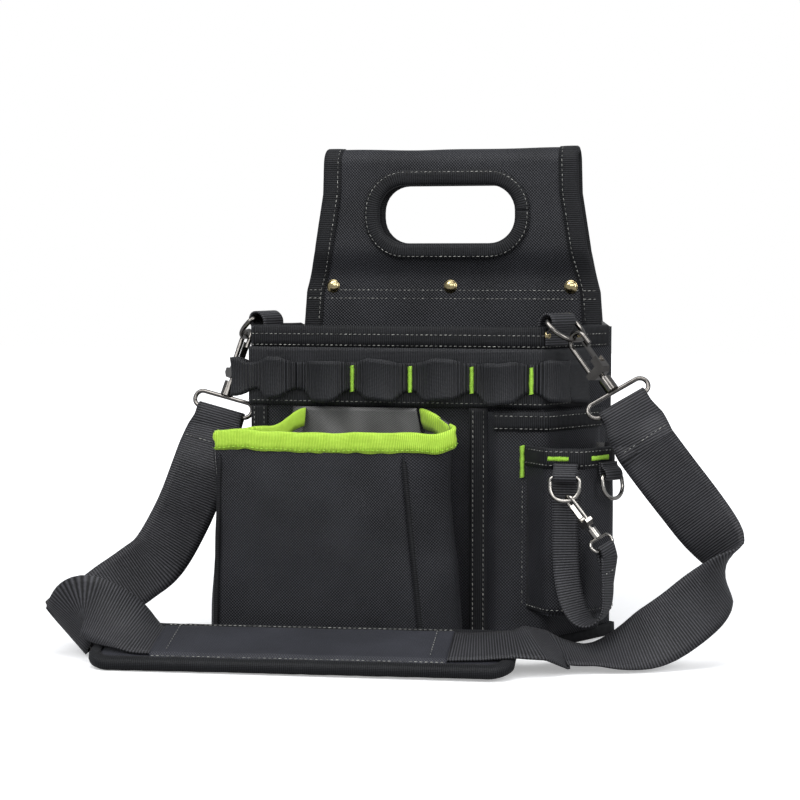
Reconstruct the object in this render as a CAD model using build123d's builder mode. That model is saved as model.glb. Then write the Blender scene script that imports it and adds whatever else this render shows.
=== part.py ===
"""Electrician's tool pouch with belt tunnel, tool loops, bellows pocket, clipped shoulder strap and pad.

Millimetres. X runs to the wearer's front-view right, the front faces -Y, Z is up.
The origin is the middle of the base, on the floor.
"""

from build123d import *
import os
from math import cos, radians, sin

os.makedirs("parts", exist_ok=True)

# ---------------------------------------------------------------- sizes that can be changed
cloth = 2.0                 # body fabric with its coating
lining = 1.3                # pocket fabric
tape = 0.9                  # binding tape
web = 1.5                   # webbing thickness
board = 1.8                 # plastic stiffener
seat = 0.3                  # gap between pieces that lie on each other
skin = 0.05                 # gap inside a sewn binding

bag_left = -119.0           # front left corner
bag_right = 72.0            # front right corner; the right side runs back from here on a slant
back_left = -103.0
back_right = 107.0
front_y = -34.0
back_y = 30.0               # rear face of the back panel
collar_z = 204.0            # top edge of the bag
binding_wide = 12.5         # visible width of folded 25 mm tape

handle_top = 320.0
handle_half = 85.0          # half width of the handle at its top
handle_flare = 101.0        # half width where it meets the bag
belt_gap = 14.0             # clear depth of the belt tunnel
tunnel_z = 252.0            # the tunnel is full depth from here up
tail_z = 190.0              # lower ends of the two handle leaves
hole_x = -1.5
hole_z = 276.0
hole_wide = 93.0
hole_tall = 40.0
hole_radius = 18.0
hole_tape = 9.0
rivet_z = 228.5
rivet_span = 80.5

band_z = 153.0              # webbing behind the tool loops
band_wide = 38.0
loop_z = 158.0
loop_wide = 25.0
loop_bulge = 7.0

pocket_front = -80.0        # face of the bellows pocket
pocket_low = 2.6
pocket_top = 145.0
pocket_hang = 152.0         # its gusset tops rise to here, under the band

tall_depth = 5.6            # slip pocket on the right
tall_top = 152.0
small_low = 28.0            # outer pocket on the slip pocket
small_top = 131.0

strap_wide = 38.0
pad_wide = 58.0
pad_thick = 6.0
pad_long = 258.0
sleeve_long = 180.0

ring_wire = 1.6             # wire radii
hook_wire = 1.6
yoke_wire = 1.4
small_wire = 1.25

# ---------------------------------------------------------------- helpers
front_in = front_y + cloth
wall_low = 3.4              # the walls stand on the base panel
wrap = tape + skin          # thickness a binding adds to each face


def shifted(points, distance):
    """Points of an open line moved to its left by distance, corners mitred."""
    points = [Vector(*point) for point in points]
    sides = []
    for start, end in zip(points, points[1:]):
        run = (end - start).normalized()
        sides.append(Vector(-run.Y, run.X))
    moved = []
    for index, point in enumerate(points):
        before = sides[max(index - 1, 0)]
        after = sides[min(index, len(sides) - 1)]
        mitre = (before + after).normalized()
        moved.append(point + mitre * (distance / mitre.dot(after)))
    return moved


def strip_points(points, near, far):
    """Corners of the closed strip between two offsets of an open line."""
    return [*shifted(points, near), *reversed(shifted(points, far))]


def outline(points):
    """Closed outline as a face in the open sketch."""
    with BuildLine() as edge:
        Polyline(*points, close=True)
    make_face(edge.edges())


def slab(low_corner, high_corner):
    """An upright box from its lowest to its highest corner."""
    size = [high - low for low, high in zip(low_corner, high_corner)]
    middle = (low_corner[0] + size[0] / 2, low_corner[1] + size[1] / 2)
    with BuildPart() as block:
        with BuildSketch(Plane.XY.offset(low_corner[2])):
            with Locations(middle):
                Rectangle(size[0], size[1])
        extrude(amount=size[2])
    return block


def prism(plane, points, amount, both=False):
    """A closed outline drawn on a plane and given depth."""
    with BuildPart() as block:
        with BuildSketch(plane):
            outline(points)
        extrude(amount=amount, both=both)
    return block


def upright(low, high, z_low, z_high, near, far):
    """A thin wall between two plan lines, one at each height."""
    with BuildPart() as wall:
        with BuildSketch(Plane.XY.offset(z_low)):
            outline(strip_points(low, near, far))
        with BuildSketch(Plane.XY.offset(z_high)):
            outline(strip_points(high, near, far))
        loft(ruled=True)
    return wall


def less(block, *others):
    """A copy of one block with others cut away."""
    with BuildPart() as cut:
        add(block.part)
        for other in others:
            add(other.part, mode=Mode.SUBTRACT)
    return cut


def within(block, other):
    """The part of a block that lies inside another."""
    with BuildPart() as common:
        add(block.part)
        add(other.part, mode=Mode.INTERSECT)
    return common


def group(*blocks):
    """Several blocks as one part."""
    with BuildPart() as whole:
        for block in blocks:
            add(block.part)
    return whole


def placed(block, plane):
    """A block built at the origin, moved onto a plane."""
    with BuildPart() as moved:
        add(block.part.moved(plane.location))
    return moved


def save(builder, label):
    """Labels one finished sub-part and writes it."""
    builder.part.label = label
    export_step(builder.part, f"parts/{label}.step")


def rounded(stations, steps):
    """Points added between stations so that they lie on a smooth curve."""
    rows = [[float(value) for value in row] for row in stations]
    rows = [rows[0], *rows, rows[-1]]
    curve = []
    for a, b, c, d in zip(rows, rows[1:], rows[2:], rows[3:]):
        for step in range(steps):
            t = step / steps
            row = []
            for p, q, r, s in zip(a, b, c, d):
                bend = (2 * p - 5 * q + 4 * r - s) * t * t + (3 * q - p - 3 * r + s) * t * t * t
                row.append(q + 0.5 * ((r - p) * t + bend))
            curve.append(row)
    curve.append(rows[-1])
    return curve


def ribbon(stations, width, thickness, lift=0.0):
    """Flat webbing through stations of centre x, y, z, the direction across its width and
    its own width where that differs."""
    centres = [Vector(*row[:3]) for row in stations]
    with BuildPart() as strip:
        for index, row in enumerate(stations):
            ahead = centres[min(index + 1, len(centres) - 1)]
            behind = centres[max(index - 1, 0)]
            run = (ahead - behind).normalized()
            across = Vector(*row[3:6])
            across = (across - run * across.dot(run)).normalized()
            up = run.cross(across)
            wide = row[6] if len(row) > 6 else width
            with BuildSketch(Plane(centres[index] + up * lift, x_dir=across, z_dir=run)):
                Rectangle(wide, thickness)
        loft(ruled=True)
    return strip


def wire_loop(wide, tall, top_radius, end_radius, wire):
    """A closed wire ring with its first bar along X at the origin, hanging toward +Y."""
    with BuildSketch(Plane.XY) as shape:
        with Locations((0, tall / 2)):
            Rectangle(wide, tall)
        fillet(shape.vertices().group_by(Axis.Y)[0], top_radius)
        fillet(shape.vertices().group_by(Axis.Y)[-1], end_radius)
    route = shape.face().outer_wire()
    with BuildPart() as ring:
        with BuildSketch(Plane(origin=route @ 0, z_dir=route % 0)):
            Circle(wire)
        sweep(path=route)
    return ring


def unit(vector):
    """Direction of a vector."""
    return Vector(*vector).normalized()


# ---------------------------------------------------------------- plan of the bag
side_left = unit((back_left - bag_left, 28.0 - front_y, 0))
side_right = unit((back_right - bag_right, 28.0 - front_y, 0))
out_left = Vector(-side_left.Y, side_left.X, 0)
out_right = Vector(side_right.Y, -side_right.X, 0)
board_front = back_y - cloth - seat - board
tail_front = 24.4           # nothing in front of the handle's tail goes further back than this


def on_side(left, y):
    """Plan point of a side's outer face at the given y."""
    x, back = (bag_left, back_left) if left else (bag_right, back_right)
    return (x + (back - x) * (y - front_y) / (28.0 - front_y), y)


body_line = [on_side(True, 27.7), (bag_left, front_y), (bag_right, front_y), on_side(False, 27.7)]

# ---------------------------------------------------------------- handle with belt tunnel
leaf_front = back_y - cloth - seat - cloth / 2
leaf_rear = back_y + seat + cloth / 2
bow_mid = (leaf_front + leaf_rear) / 2
bow_half = (belt_gap + cloth) / 2
neck_z = tunnel_z - 16
crown_z = handle_top - bow_half - cloth / 2 - wrap
front_leaf_line = [
    (leaf_front, tail_z),
    (leaf_front, neck_z),
    (bow_mid - bow_half, tunnel_z),
    (bow_mid - bow_half, crown_z),
]
rear_leaf_line = [
    (bow_mid + bow_half, crown_z),
    (bow_mid + bow_half, tunnel_z),
    (leaf_rear, neck_z),
    (leaf_rear, tail_z),
]


def handle_section(half):
    """The folded handle's section, half its thickness each side, as a face in the open sketch."""
    outer_front = shifted(front_leaf_line, half)
    outer_rear = shifted(rear_leaf_line, half)
    inner_front = shifted(front_leaf_line, -half)
    inner_rear = shifted(rear_leaf_line, -half)
    with BuildLine() as edge:
        Polyline(*outer_front)
        ThreePointArc(outer_front[-1], (bow_mid, crown_z + bow_half + half), outer_rear[0])
        Polyline(*outer_rear)
        Line(outer_rear[-1], inner_rear[-1])
        Polyline(*reversed(inner_rear))
        ThreePointArc(inner_rear[0], (bow_mid, crown_z + bow_half - half), inner_front[-1])
        Polyline(*reversed(inner_front))
        Line(inner_front[0], outer_front[0])
    make_face(edge.edges())


def handle_edges(grow):
    """Side edges of the handle seen from the front, as corners."""
    spread = handle_flare - handle_half
    heights = ((handle_top + 5, 0.0), (290, 0.06), (tunnel_z, 0.44), (225, 0.88), (200, 1.0), (tail_z - 5, 1.0))
    right = [(handle_half + spread * share + grow, z) for z, share in heights]
    left = [(-x, z) for x, z in reversed(right)]
    return [*right, *left]


def hand_hole(grow):
    """Hand hole grown by the given amount, cut right through in Y."""
    with BuildPart() as hole:
        with BuildSketch(Plane.XZ):
            with Locations((hole_x, hole_z)):
                RectangleRounded(hole_wide + 2 * grow, hole_tall + 2 * grow, hole_radius + grow)
        extrude(amount=80, both=True)
    return hole


def handle_body(half, grow, hole_grow):
    """The folded handle as a solid, its outline and hole grown as asked."""
    with BuildPart() as body:
        with BuildSketch(Plane.YZ):
            handle_section(half)
        extrude(amount=handle_flare + 20, both=True)
        add(prism(Plane.XZ, handle_edges(grow), 80, both=True).part, mode=Mode.INTERSECT)
        add(hand_hole(hole_grow).part, mode=Mode.SUBTRACT)
    return body


def pegs(places, radius, y_front, y_rear):
    """Round pegs along Y at the given x, z places."""
    with BuildPart() as pins:
        with BuildSketch(Plane.XZ.offset(-y_rear)):
            with Locations(*places):
                Circle(radius)
        extrude(amount=y_rear - y_front)
    return pins


rivet_places = [(-rivet_span, rivet_z), (0, rivet_z), (rivet_span, rivet_z)]
rivet_bores = pegs(rivet_places, 1.6 + skin, 0, 60)
handle_panel = less(handle_body(cloth / 2, 0, wrap), rivet_bores)
save(handle_panel, "handle_panel")

sewn_leaf = handle_body(cloth / 2 + skin, skin, tape)
tape_shell = handle_body(cloth / 2 + wrap, wrap, 0)
back_slot = slab((-200, back_y - cloth - skin, 0), (200, back_y + skin, neck_z + 1))
edge_core = prism(Plane.XZ, handle_edges(-binding_wide), 80, both=True)
right_half = slab((0.5, -50, 0), (200, 80, 400))
left_half = slab((-200, -50, 0), (-0.5, 80, 400))
edge_tape = less(tape_shell, sewn_leaf, back_slot, edge_core)
handle_edge_binding_left = within(edge_tape, left_half)
save(handle_edge_binding_left, "handle_edge_binding_left")
handle_edge_binding_right = within(edge_tape, right_half)
save(handle_edge_binding_right, "handle_edge_binding_right")

hole_tape_both = within(less(tape_shell, sewn_leaf), hand_hole(hole_tape))
hand_hole_binding_front = within(hole_tape_both, slab((-200, -50, 0), (200, bow_mid, 400)))
save(hand_hole_binding_front, "hand_hole_binding_front")
hand_hole_binding_rear = within(hole_tape_both, slab((-200, bow_mid, 0), (200, 80, 400)))
save(hand_hole_binding_rear, "hand_hole_binding_rear")

rivet_front = leaf_front - cloth / 2 - skin
rivet_rear = leaf_rear + cloth / 2 + skin
handle_rivets = group(
    pegs(rivet_places, 1.6, rivet_front - 0.5, rivet_rear + 0.5),
    pegs(rivet_places, 4.2, rivet_front - 1.0, rivet_front),
    pegs(rivet_places, 3.0, rivet_front - 1.7, rivet_front - 1.0),
    pegs(rivet_places, 4.2, rivet_rear, rivet_rear + 0.8),
)
save(handle_rivets, "handle_rivets")

# ---------------------------------------------------------------- back, boards and base
back_points = [
    (back_left + 1, wall_low),
    (back_right - 1, wall_low),
    (handle_flare - 0.5, tail_z - 8),
    (handle_flare - 2.5, neck_z - 12),
    (handle_flare - 8.5, neck_z),
    (8.5 - handle_flare, neck_z),
    (2.5 - handle_flare, neck_z - 12),
    (0.5 - handle_flare, tail_z - 8),
]
back_panel = less(prism(Plane.XZ.offset(-back_y), back_points, cloth), rivet_bores)
save(back_panel, "back_panel")

back_board = slab((back_left + 8, board_front, 6.0), (back_right - 12, board_front + board, tail_z - 4.5))
save(back_board, "back_board")

base_line = [(bag_left, front_y), (bag_right, front_y), on_side(False, back_y), on_side(True, back_y)]


def grown(points, amount):
    """Corners of a closed four-sided plan moved outward, listed from the front left corner."""
    ring = [points[-1], *points, points[0]]
    return shifted(ring, -amount)[1:-1]


base_panel = prism(Plane.XY.offset(0.8), base_line, wall_low - seat - 0.8)
save(base_panel, "base_panel")
board_inset = 4.0
base_board = prism(Plane.XY.offset(wall_low), grown(base_line, -board_inset), board)
base_board = less(base_board, slab((-150, board_front - seat, 0), (150, 60, 20)))
save(base_board, "base_board")
base_outer = prism(Plane.XY, grown(base_line, seat + 1.3), 8.5)
base_binding = less(base_outer, prism(Plane.XY.offset(-1), grown(base_line, seat), 12))
save(base_binding, "base_binding")

# ---------------------------------------------------------------- bag walls
front_panel = slab((bag_left + 0.8, front_y, wall_low), (bag_right - seat, front_in, collar_z - wrap))
save(front_panel, "front_panel")

gusset_front = front_in + seat
tail_notch = slab((-200, tail_front, tail_z - 0.6), (200, 60, 300))


def side_gusset(left):
    """One side wall, from behind the front panel to the back panel."""
    ends = [on_side(left, front_y), on_side(left, back_y)]
    inward = (-cloth, 0) if left else (0, cloth)
    wall = prism(Plane.XY.offset(wall_low), strip_points(ends, *inward), collar_z - wrap - wall_low)
    between = slab((-200, gusset_front, 0), (200, back_y - cloth - seat, 300))
    return less(within(wall, between), tail_notch)


side_gusset_left = side_gusset(True)
save(side_gusset_left, "side_gusset_left")
side_gusset_right = side_gusset(False)
save(side_gusset_right, "side_gusset_right")

collar_low = collar_z - binding_wide - 1
collar_outer = prism(Plane.XY.offset(collar_low), strip_points(body_line, -wrap, cloth + wrap), collar_z - collar_low)
collar_slot = prism(
    Plane.XY.offset(collar_low - 1),
    strip_points(body_line, -skin, cloth + skin),
    collar_z - collar_low + 1 - tape,
)
collar_trim = slab((-200, tail_front, 0), (200, 60, 300))
collar_binding = less(collar_outer, collar_slot, collar_trim)
save(collar_binding, "collar_binding")

# ---------------------------------------------------------------- band and tool loops
band_line = [on_side(True, -8), (bag_left, front_y), (bag_right, front_y), on_side(False, 6)]
loop_band = prism(
    Plane.XY.offset(band_z),
    strip_points(band_line, -seat - web, -seat),
    band_wide - 0.8,
)
save(loop_band, "loop_band")

tack_half = 2.0
tacks = [bag_left + 3, -86.0, -50.0, -12.0, 28.0, 66.0]
loop_seat = seat + web + seat       # gap from the bag's face to the back of the loops
side_tack = Vector(*on_side(False, -14), 0)
side_end = Vector(*on_side(False, 4), 0)


def loop_face(depth):
    """Edges of one face of the looped webbing, the given depth in front of its seat."""
    y = front_y - loop_seat - depth
    rise = loop_seat + depth
    left_end = Vector(*on_side(True, -20), 0) + out_left * rise
    corner_tack = Vector(*on_side(True, -27 + 0.8 * depth), 0) + out_left * rise
    front_tack = tacks[0] - tack_half + 0.8 * depth
    right_tack = side_tack + out_right * rise
    right_end = side_end + out_right * rise
    Line((left_end.X, left_end.Y), (corner_tack.X, corner_tack.Y))
    ThreePointArc((corner_tack.X, corner_tack.Y), (bag_left - 12.0 - depth, -34.5), (front_tack, y))
    Line((front_tack, y), (tacks[0] + tack_half, y))
    for left, right in zip(tacks, tacks[1:]):
        middle = ((left + right) / 2, y - loop_bulge)
        ThreePointArc((left + tack_half, y), middle, (right - tack_half, y))
        Line((right - tack_half, y), (right + tack_half, y))
    crown = (bag_right + 10.5 + depth * 0.7, y + 3.0 + depth * 0.3)
    ThreePointArc((tacks[-1] + tack_half, y), crown, (right_tack.X, right_tack.Y))
    Line((right_tack.X, right_tack.Y), (right_end.X, right_end.Y))
    return (left_end.X, left_end.Y), (right_end.X, right_end.Y)


with BuildPart() as tool_loops:
    with BuildSketch(Plane.XY.offset(loop_z)):
        with BuildLine() as loops:
            inner_start, inner_end = loop_face(0)
            outer_start, outer_end = loop_face(web)
            Line(inner_start, outer_start)
            Line(inner_end, outer_end)
        make_face(loops.edges())
    extrude(amount=loop_wide)
save(tool_loops, "tool_loops")

tack_face = front_y - loop_seat - web
bartack_places = tacks[2:]
bartacks = [slab((x - 1.4, tack_face - 1.0, loop_z + 4), (x + 1.4, tack_face - skin, loop_z + 21)) for x in bartack_places]
loop_bartacks = group(*bartacks)
save(loop_bartacks, "loop_bartacks")

# ---------------------------------------------------------------- bellows pocket
pocket_back = front_y - seat - lining
gusset_end = pocket_back - seat
foot = [
    (-107.0, gusset_end),
    (-136.0, -68.0),
    (-128.0, pocket_front),
    (6.0, pocket_front),
    (27.0, -57.0),
    (21.0, gusset_end),
]
head = [
    (-91.0, gusset_end),
    (-131.0, -68.0),
    (-122.6, pocket_front),
    (-10.0, pocket_front),
    (21.0, -57.0),
    (-8.0, gusset_end),
]
head_top = 160.0


def pocket_profile(lift):
    """Side view of everything under the pocket's top edge raised by lift, as corners."""
    top = pocket_top - 6 + lift
    return [
        (-120, -1),
        (-120, top),
        (-66, top),
        (gusset_end, pocket_hang - 1 + lift),
        (20, pocket_hang - 1 + lift),
        (20, -1),
    ]


def under_edge(lift):
    """Everything under the pocket's top edge raised by lift, as a solid."""
    return prism(Plane.YZ, pocket_profile(lift), 250, both=True)


def pocket_wall(first, last, near, far, trim_first=0.0, trim_last=0.0):
    """A stretch of the pocket wall between two corners of its plan."""
    rows = []
    for row in (foot, head):
        line = [Vector(*point) for point in row[first : last + 1]]
        line[0] = line[0] + (line[1] - line[0]).normalized() * trim_first
        line[-1] = line[-1] + (line[-2] - line[-1]).normalized() * trim_last
        rows.append(line)
    return upright(rows[0], rows[1], pocket_low, head_top, near, far)


seam_gap = lining + 0.6
under_top = under_edge(0)
front_pocket_panel = within(pocket_wall(2, 3, 0, lining), under_top)
save(front_pocket_panel, "front_pocket_panel")
front_pocket_gusset_left = within(pocket_wall(0, 2, 0, lining, trim_last=seam_gap), under_top)
save(front_pocket_gusset_left, "front_pocket_gusset_left")
front_pocket_gusset_right = within(pocket_wall(3, 5, 0, lining, trim_first=seam_gap), under_top)
save(front_pocket_gusset_right, "front_pocket_gusset_right")

binding_shell = pocket_wall(0, 5, -wrap, lining + wrap, trim_first=1.5, trim_last=1.5)
binding_slot = pocket_wall(0, 5, -skin, lining + skin)
pocket_binding_body = less(within(binding_shell, under_edge(wrap)), under_edge(-binding_wide))
front_pocket_binding = less(pocket_binding_body, within(binding_slot, under_edge(skin)))
save(front_pocket_binding, "front_pocket_binding")

front_pocket_floor = prism(Plane.XY.offset(0.3), foot, pocket_low - seat - 0.3)
save(front_pocket_floor, "front_pocket_floor")

lining_points = [(-106.5, 8.8), (20.5, 8.8), (-8.5, pocket_hang), (-90.5, pocket_hang)]
front_pocket_lining = prism(Plane.XZ.offset(-front_y + seat), lining_points, lining)
save(front_pocket_lining, "front_pocket_lining")


def piping(x_low, x_high):
    """A sewn ridge up one front corner of the pocket."""
    top = pocket_top - binding_wide - 8
    with BuildPart() as ridge:
        for x, z in ((x_low, pocket_low), (x_high, top)):
            with BuildSketch(Plane.XY.offset(z)):
                with Locations((x, pocket_front - seat - 0.7)):
                    Rectangle(2.6, 1.4)
        loft(ruled=True)
    return ridge


seam_rise = (pocket_top - binding_wide - 8 - pocket_low) / (head_top - pocket_low)
left_seam_top = foot[2][0] + (head[2][0] - foot[2][0]) * seam_rise
right_seam_top = foot[3][0] + (head[3][0] - foot[3][0]) * seam_rise
front_pocket_piping = group(
    piping(foot[2][0] + 2, left_seam_top + 2),
    piping(foot[3][0] - 2, right_seam_top - 2),
)
save(front_pocket_piping, "front_pocket_piping")

# ---------------------------------------------------------------- slip pocket and seam tapes
tall_left = 32.0
tall_rise = seat + lining + tall_depth
corner_y = front_y - tall_rise
fold_right = 4.0
tall_line = [
    (tall_left, front_y - seat - lining),
    (tall_left + 6, front_y - seat - lining),
    (tall_left + 11, corner_y),
]
right_foot = Vector(*on_side(False, 10), 0)
mitre = shifted([(bag_left, front_y), (bag_right, front_y), (back_right, 28.0)], -tall_rise)[1]
tall_line.append((mitre.X, mitre.Y))
for reach, rise in ((0.0, tall_rise), (5.0, seat + lining), (13.0, seat + lining)):
    point = right_foot + side_right * reach + out_right * rise
    tall_line.append((point.X, point.Y))
tall_low = 9.0
tall_pocket_panel = prism(Plane.XY.offset(tall_low), strip_points(tall_line, 0, lining), tall_top - wrap - tall_low)
save(tall_pocket_panel, "tall_pocket_panel")

bound_line = tall_line[2:5]
tall_tape = prism(Plane.XY.offset(tall_top - binding_wide), strip_points(bound_line, -wrap, lining + wrap), binding_wide)
tall_slot = prism(
    Plane.XY.offset(tall_top - binding_wide - 1),
    strip_points(tall_line, -skin, lining + skin),
    binding_wide + 1 - tape,
)
tall_pocket_binding = less(tall_tape, tall_slot)
save(tall_pocket_binding, "tall_pocket_binding")

tape_face = front_y - seat - tape
seam_tape_left = slab((bag_left + 0.5, tape_face, 9.0), (bag_left + 11, tape_face + tape, band_z - seat))
divider_y = front_y - seat - lining - seat - tape
divider = slab((26.0, divider_y, 9.0), (tall_left + 6.0, divider_y + tape, band_z - seat))
divider_foot = slab((26.0, divider_y + tape, 9.0), (tall_left - seat, front_y - seat, band_z - seat))
seam_tapes = group(seam_tape_left, divider, divider_foot)
save(seam_tapes, "seam_tapes")

# ---------------------------------------------------------------- outer pocket on the slip pocket
small_line = [
    (64.0, corner_y - seat - 0.1),
    (79.5, -59.0),
    (101.0, -58.0),
    (117.0, -34.0),
    (112.0, -6.0),
]
landing = Vector(*on_side(False, 6), 0) + out_right * (tall_rise + seat + lining + 0.3)
small_line.append((landing.X, landing.Y))
small_pocket_panel = prism(Plane.XY.offset(small_low), strip_points(small_line, 0, lining), small_top - wrap - small_low)
tall_keep = prism(Plane.XY, strip_points(tall_line[1:6], -seat, 30), 300)
small_pocket_panel = less(small_pocket_panel, tall_keep)
save(small_pocket_panel, "small_pocket_panel")

small_tape = prism(
    Plane.XY.offset(small_top - binding_wide),
    strip_points(small_line, -wrap, lining + wrap),
    binding_wide,
)
small_slot = prism(
    Plane.XY.offset(small_top - binding_wide - 1),
    strip_points(small_line, -skin, lining + skin),
    binding_wide + 1 - tape,
)
small_pocket_binding = less(small_tape, small_slot, tall_keep)
save(small_pocket_binding, "small_pocket_binding")

small_pocket_floor = less(
    prism(Plane.XY.offset(small_low - seat - lining), [*small_line, (80, -6), (74, corner_y)], lining),
    tall_keep,
)
save(small_pocket_floor, "small_pocket_floor")

# ---------------------------------------------------------------- rings, hooks and their tabs
front_run = unit((small_line[2][0] - small_line[1][0], small_line[2][1] - small_line[1][1], 0))
front_out = Vector(front_run.Y, -front_run.X, 0)
side_run = unit((small_line[3][0] - small_line[2][0], small_line[3][1] - small_line[2][1], 0))
side_out = Vector(side_run.Y, -side_run.X, 0)
up = Vector(0, 0, 1)


def tab(place, outward, section, thickness, width):
    """Webbing folded into an eye, its section given as outward distance and height."""
    plane = Plane(origin=place, x_dir=outward, z_dir=outward.cross(up))
    return prism(plane, strip_points(section, -thickness / 2, thickness / 2), width / 2, both=True)


ring_y_left = -14.0
ring_y_right = -22.8
ring_rise = 3.6
ring_z = 208.0
ring_wide = 28.0
ring_tall = 18.0
ring_section = [
    (-4.2, 192),
    (-4.2, 203.5),
    (-3.4, 208.5),
    (0.5, 212),
    (5, 211.5),
    (7, 207.5),
    (5.2, 203),
    (2.4, 199.5),
    (1.9, 192),
]
place_left = Vector(*on_side(True, ring_y_left), 0)
place_right = Vector(*on_side(False, ring_y_right), 0)
ring_tab_left = tab(place_left, out_left, ring_section, 1.2, 23)
save(ring_tab_left, "ring_tab_left")
ring_tab_right = tab(place_right, out_right, ring_section, 1.2, 23)
save(ring_tab_right, "ring_tab_right")

lean_left = (out_left * 0.72 - up * 0.694).normalized()
lean_right = (out_right * 0.754 - up * 0.657).normalized()
bar_left = place_left + out_left * ring_rise + up * ring_z
bar_right = place_right + out_right * ring_rise + up * ring_z
top_ring = wire_loop(ring_wide, ring_tall, 3.5, 12.5, ring_wire)
top_ring_left = placed(top_ring, Plane(origin=bar_left, x_dir=side_left, z_dir=side_left.cross(lean_left)))
save(top_ring_left, "top_ring_left")
top_ring_right = placed(top_ring, Plane(origin=bar_right, x_dir=side_right, z_dir=side_right.cross(lean_right)))
save(top_ring_right, "top_ring_right")
hold_left = bar_left + lean_left * ring_tall
hold_right = bar_right + lean_right * ring_tall

# Snap hook, full size: the origin is where it bears on its ring, and it hangs along +Y.
bow_radius = 6.2
bow_gap = 0.75
nose_y = 8.0
pivot = (-3.7, 20.5)
stem_end = 37.4
barrel_low = 32.3
barrel_high = 41.8
rod_y = 42.6
eye_tall = 10.2


def snap_body(size, ring):
    """Bow, limb, lugs, pin, stem and stem head of a snap hook."""
    wire = hook_wire * size
    bow_y = -(ring + wire + bow_gap * size) + bow_radius * size
    nose = (-bow_radius * size, nose_y * size)
    with BuildPart() as body:
        with BuildLine() as route:
            Line(nose, (-bow_radius * size, bow_y))
            ThreePointArc((-bow_radius * size, bow_y), (0, bow_y - bow_radius * size), (bow_radius * size, bow_y))
            Line((bow_radius * size, bow_y), (bow_radius * size, 24 * size))
        with BuildSketch(Plane(origin=route.wire() @ 0, z_dir=route.wire() % 0)):
            Circle(wire)
        sweep(path=route.wire())
    block = prism(
        Plane.XY,
        [(-6.6 * size, 23 * size), (8 * size, 23 * size), (8 * size, 26 * size), (4 * size, 29.5 * size),
         (-4 * size, 29.5 * size), (-6.6 * size, 27 * size)],
        3.3 * size,
        both=True,
    )
    lug = [(-6.6 * size, 18.3 * size), (-1.4 * size, 18.3 * size), (-1.4 * size, 24 * size), (-6.6 * size, 24 * size)]
    lugs = less(prism(Plane.XY, lug, 3.3 * size, both=True), prism(Plane.XY, lug, 2.3 * size, both=True))
    block_trim = less(lugs, block)
    with BuildPart() as pin:
        with BuildSketch(Plane.XY.offset(-3 * size)):
            with Locations((pivot[0] * size, pivot[1] * size)):
                Circle(0.8 * size)
        extrude(amount=6 * size)
    with BuildPart() as stem:
        with BuildSketch(Plane.XZ.offset(-29 * size)):
            Circle(1.6 * size)
        extrude(amount=(29 - stem_end) * size)
        with BuildSketch(Plane.XZ.offset(-36 * size)):
            Circle(2.8 * size)
        extrude(amount=(36 - stem_end) * size)
    return group(body, block, block_trim, pin, stem)


def snap_gate(size):
    """Sprung gate with its knuckle on the hook's pin, closing against the inside of the nose."""
    knuckle_x = pivot[0] * size
    knuckle_y = pivot[1] * size
    with BuildPart() as gate:
        with BuildSketch(Plane.XY.offset(-2 * size)):
            with Locations((knuckle_x, knuckle_y)):
                Circle(1.8 * size)
        extrude(amount=4 * size)
        with BuildSketch(Plane.XY.offset(-2 * size)):
            with Locations((knuckle_x, (4.6 * size + knuckle_y) / 2)):
                Rectangle(1.2 * size, knuckle_y - 4.6 * size)
        extrude(amount=4 * size)
        with BuildSketch(Plane.XY.offset(-3 * size)):
            with Locations((knuckle_x, knuckle_y)):
                Circle(0.9 * size)
        extrude(amount=6 * size, mode=Mode.SUBTRACT)
    return gate


def snap_eye(size, wide):
    """Barrel that turns on the hook's stem, with the wire loop that takes the webbing."""
    with BuildPart() as barrel:
        with BuildSketch(Plane.XZ.offset(-barrel_high * size)):
            Circle(4.2 * size)
        extrude(amount=(barrel_high - barrel_low) * size)
        with BuildSketch(Plane.XZ.offset(-(barrel_low + 5) * size)):
            Circle(1.9 * size)
        extrude(amount=6 * size, mode=Mode.SUBTRACT)
        with BuildSketch(Plane.XZ.offset(-38.4 * size)):
            Circle(3.3 * size)
        extrude(amount=3.1 * size, mode=Mode.SUBTRACT)
    loop = wire_loop(wide, eye_tall * size, 5 * size, 5 * size, yoke_wire * size)
    with BuildPart() as moved:
        add(loop.part.moved(Location((0, rod_y * size, 0))))
    return group(barrel, moved)


def turned(direction, axis, degrees):
    """A direction made square to an axis, then turned about it."""
    flat = (direction - axis * direction.dot(axis)).normalized()
    return flat * cos(radians(degrees)) + axis.cross(flat) * sin(radians(degrees))


axis_right = unit((0.595, -0.33, -0.73))
axis_left = unit((-0.25, -0.28, -0.925))
eye_across_right = turned(Vector(0.79, 0.38, 0.47), axis_right, 0)
eye_across_left = turned(Vector(0.979, -0.103, -0.18), axis_left, 0)
hook_across_right = turned(side_right.cross(axis_right), axis_right, 0)
hook_across_left = turned(side_left.cross(axis_left), axis_left, 35)
eye_wide = 41.8


def hung(block, place, across, axis):
    """A hook part hung from its bearing point."""
    return placed(block, Plane(origin=place, x_dir=across, z_dir=across.cross(axis)))


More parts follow.
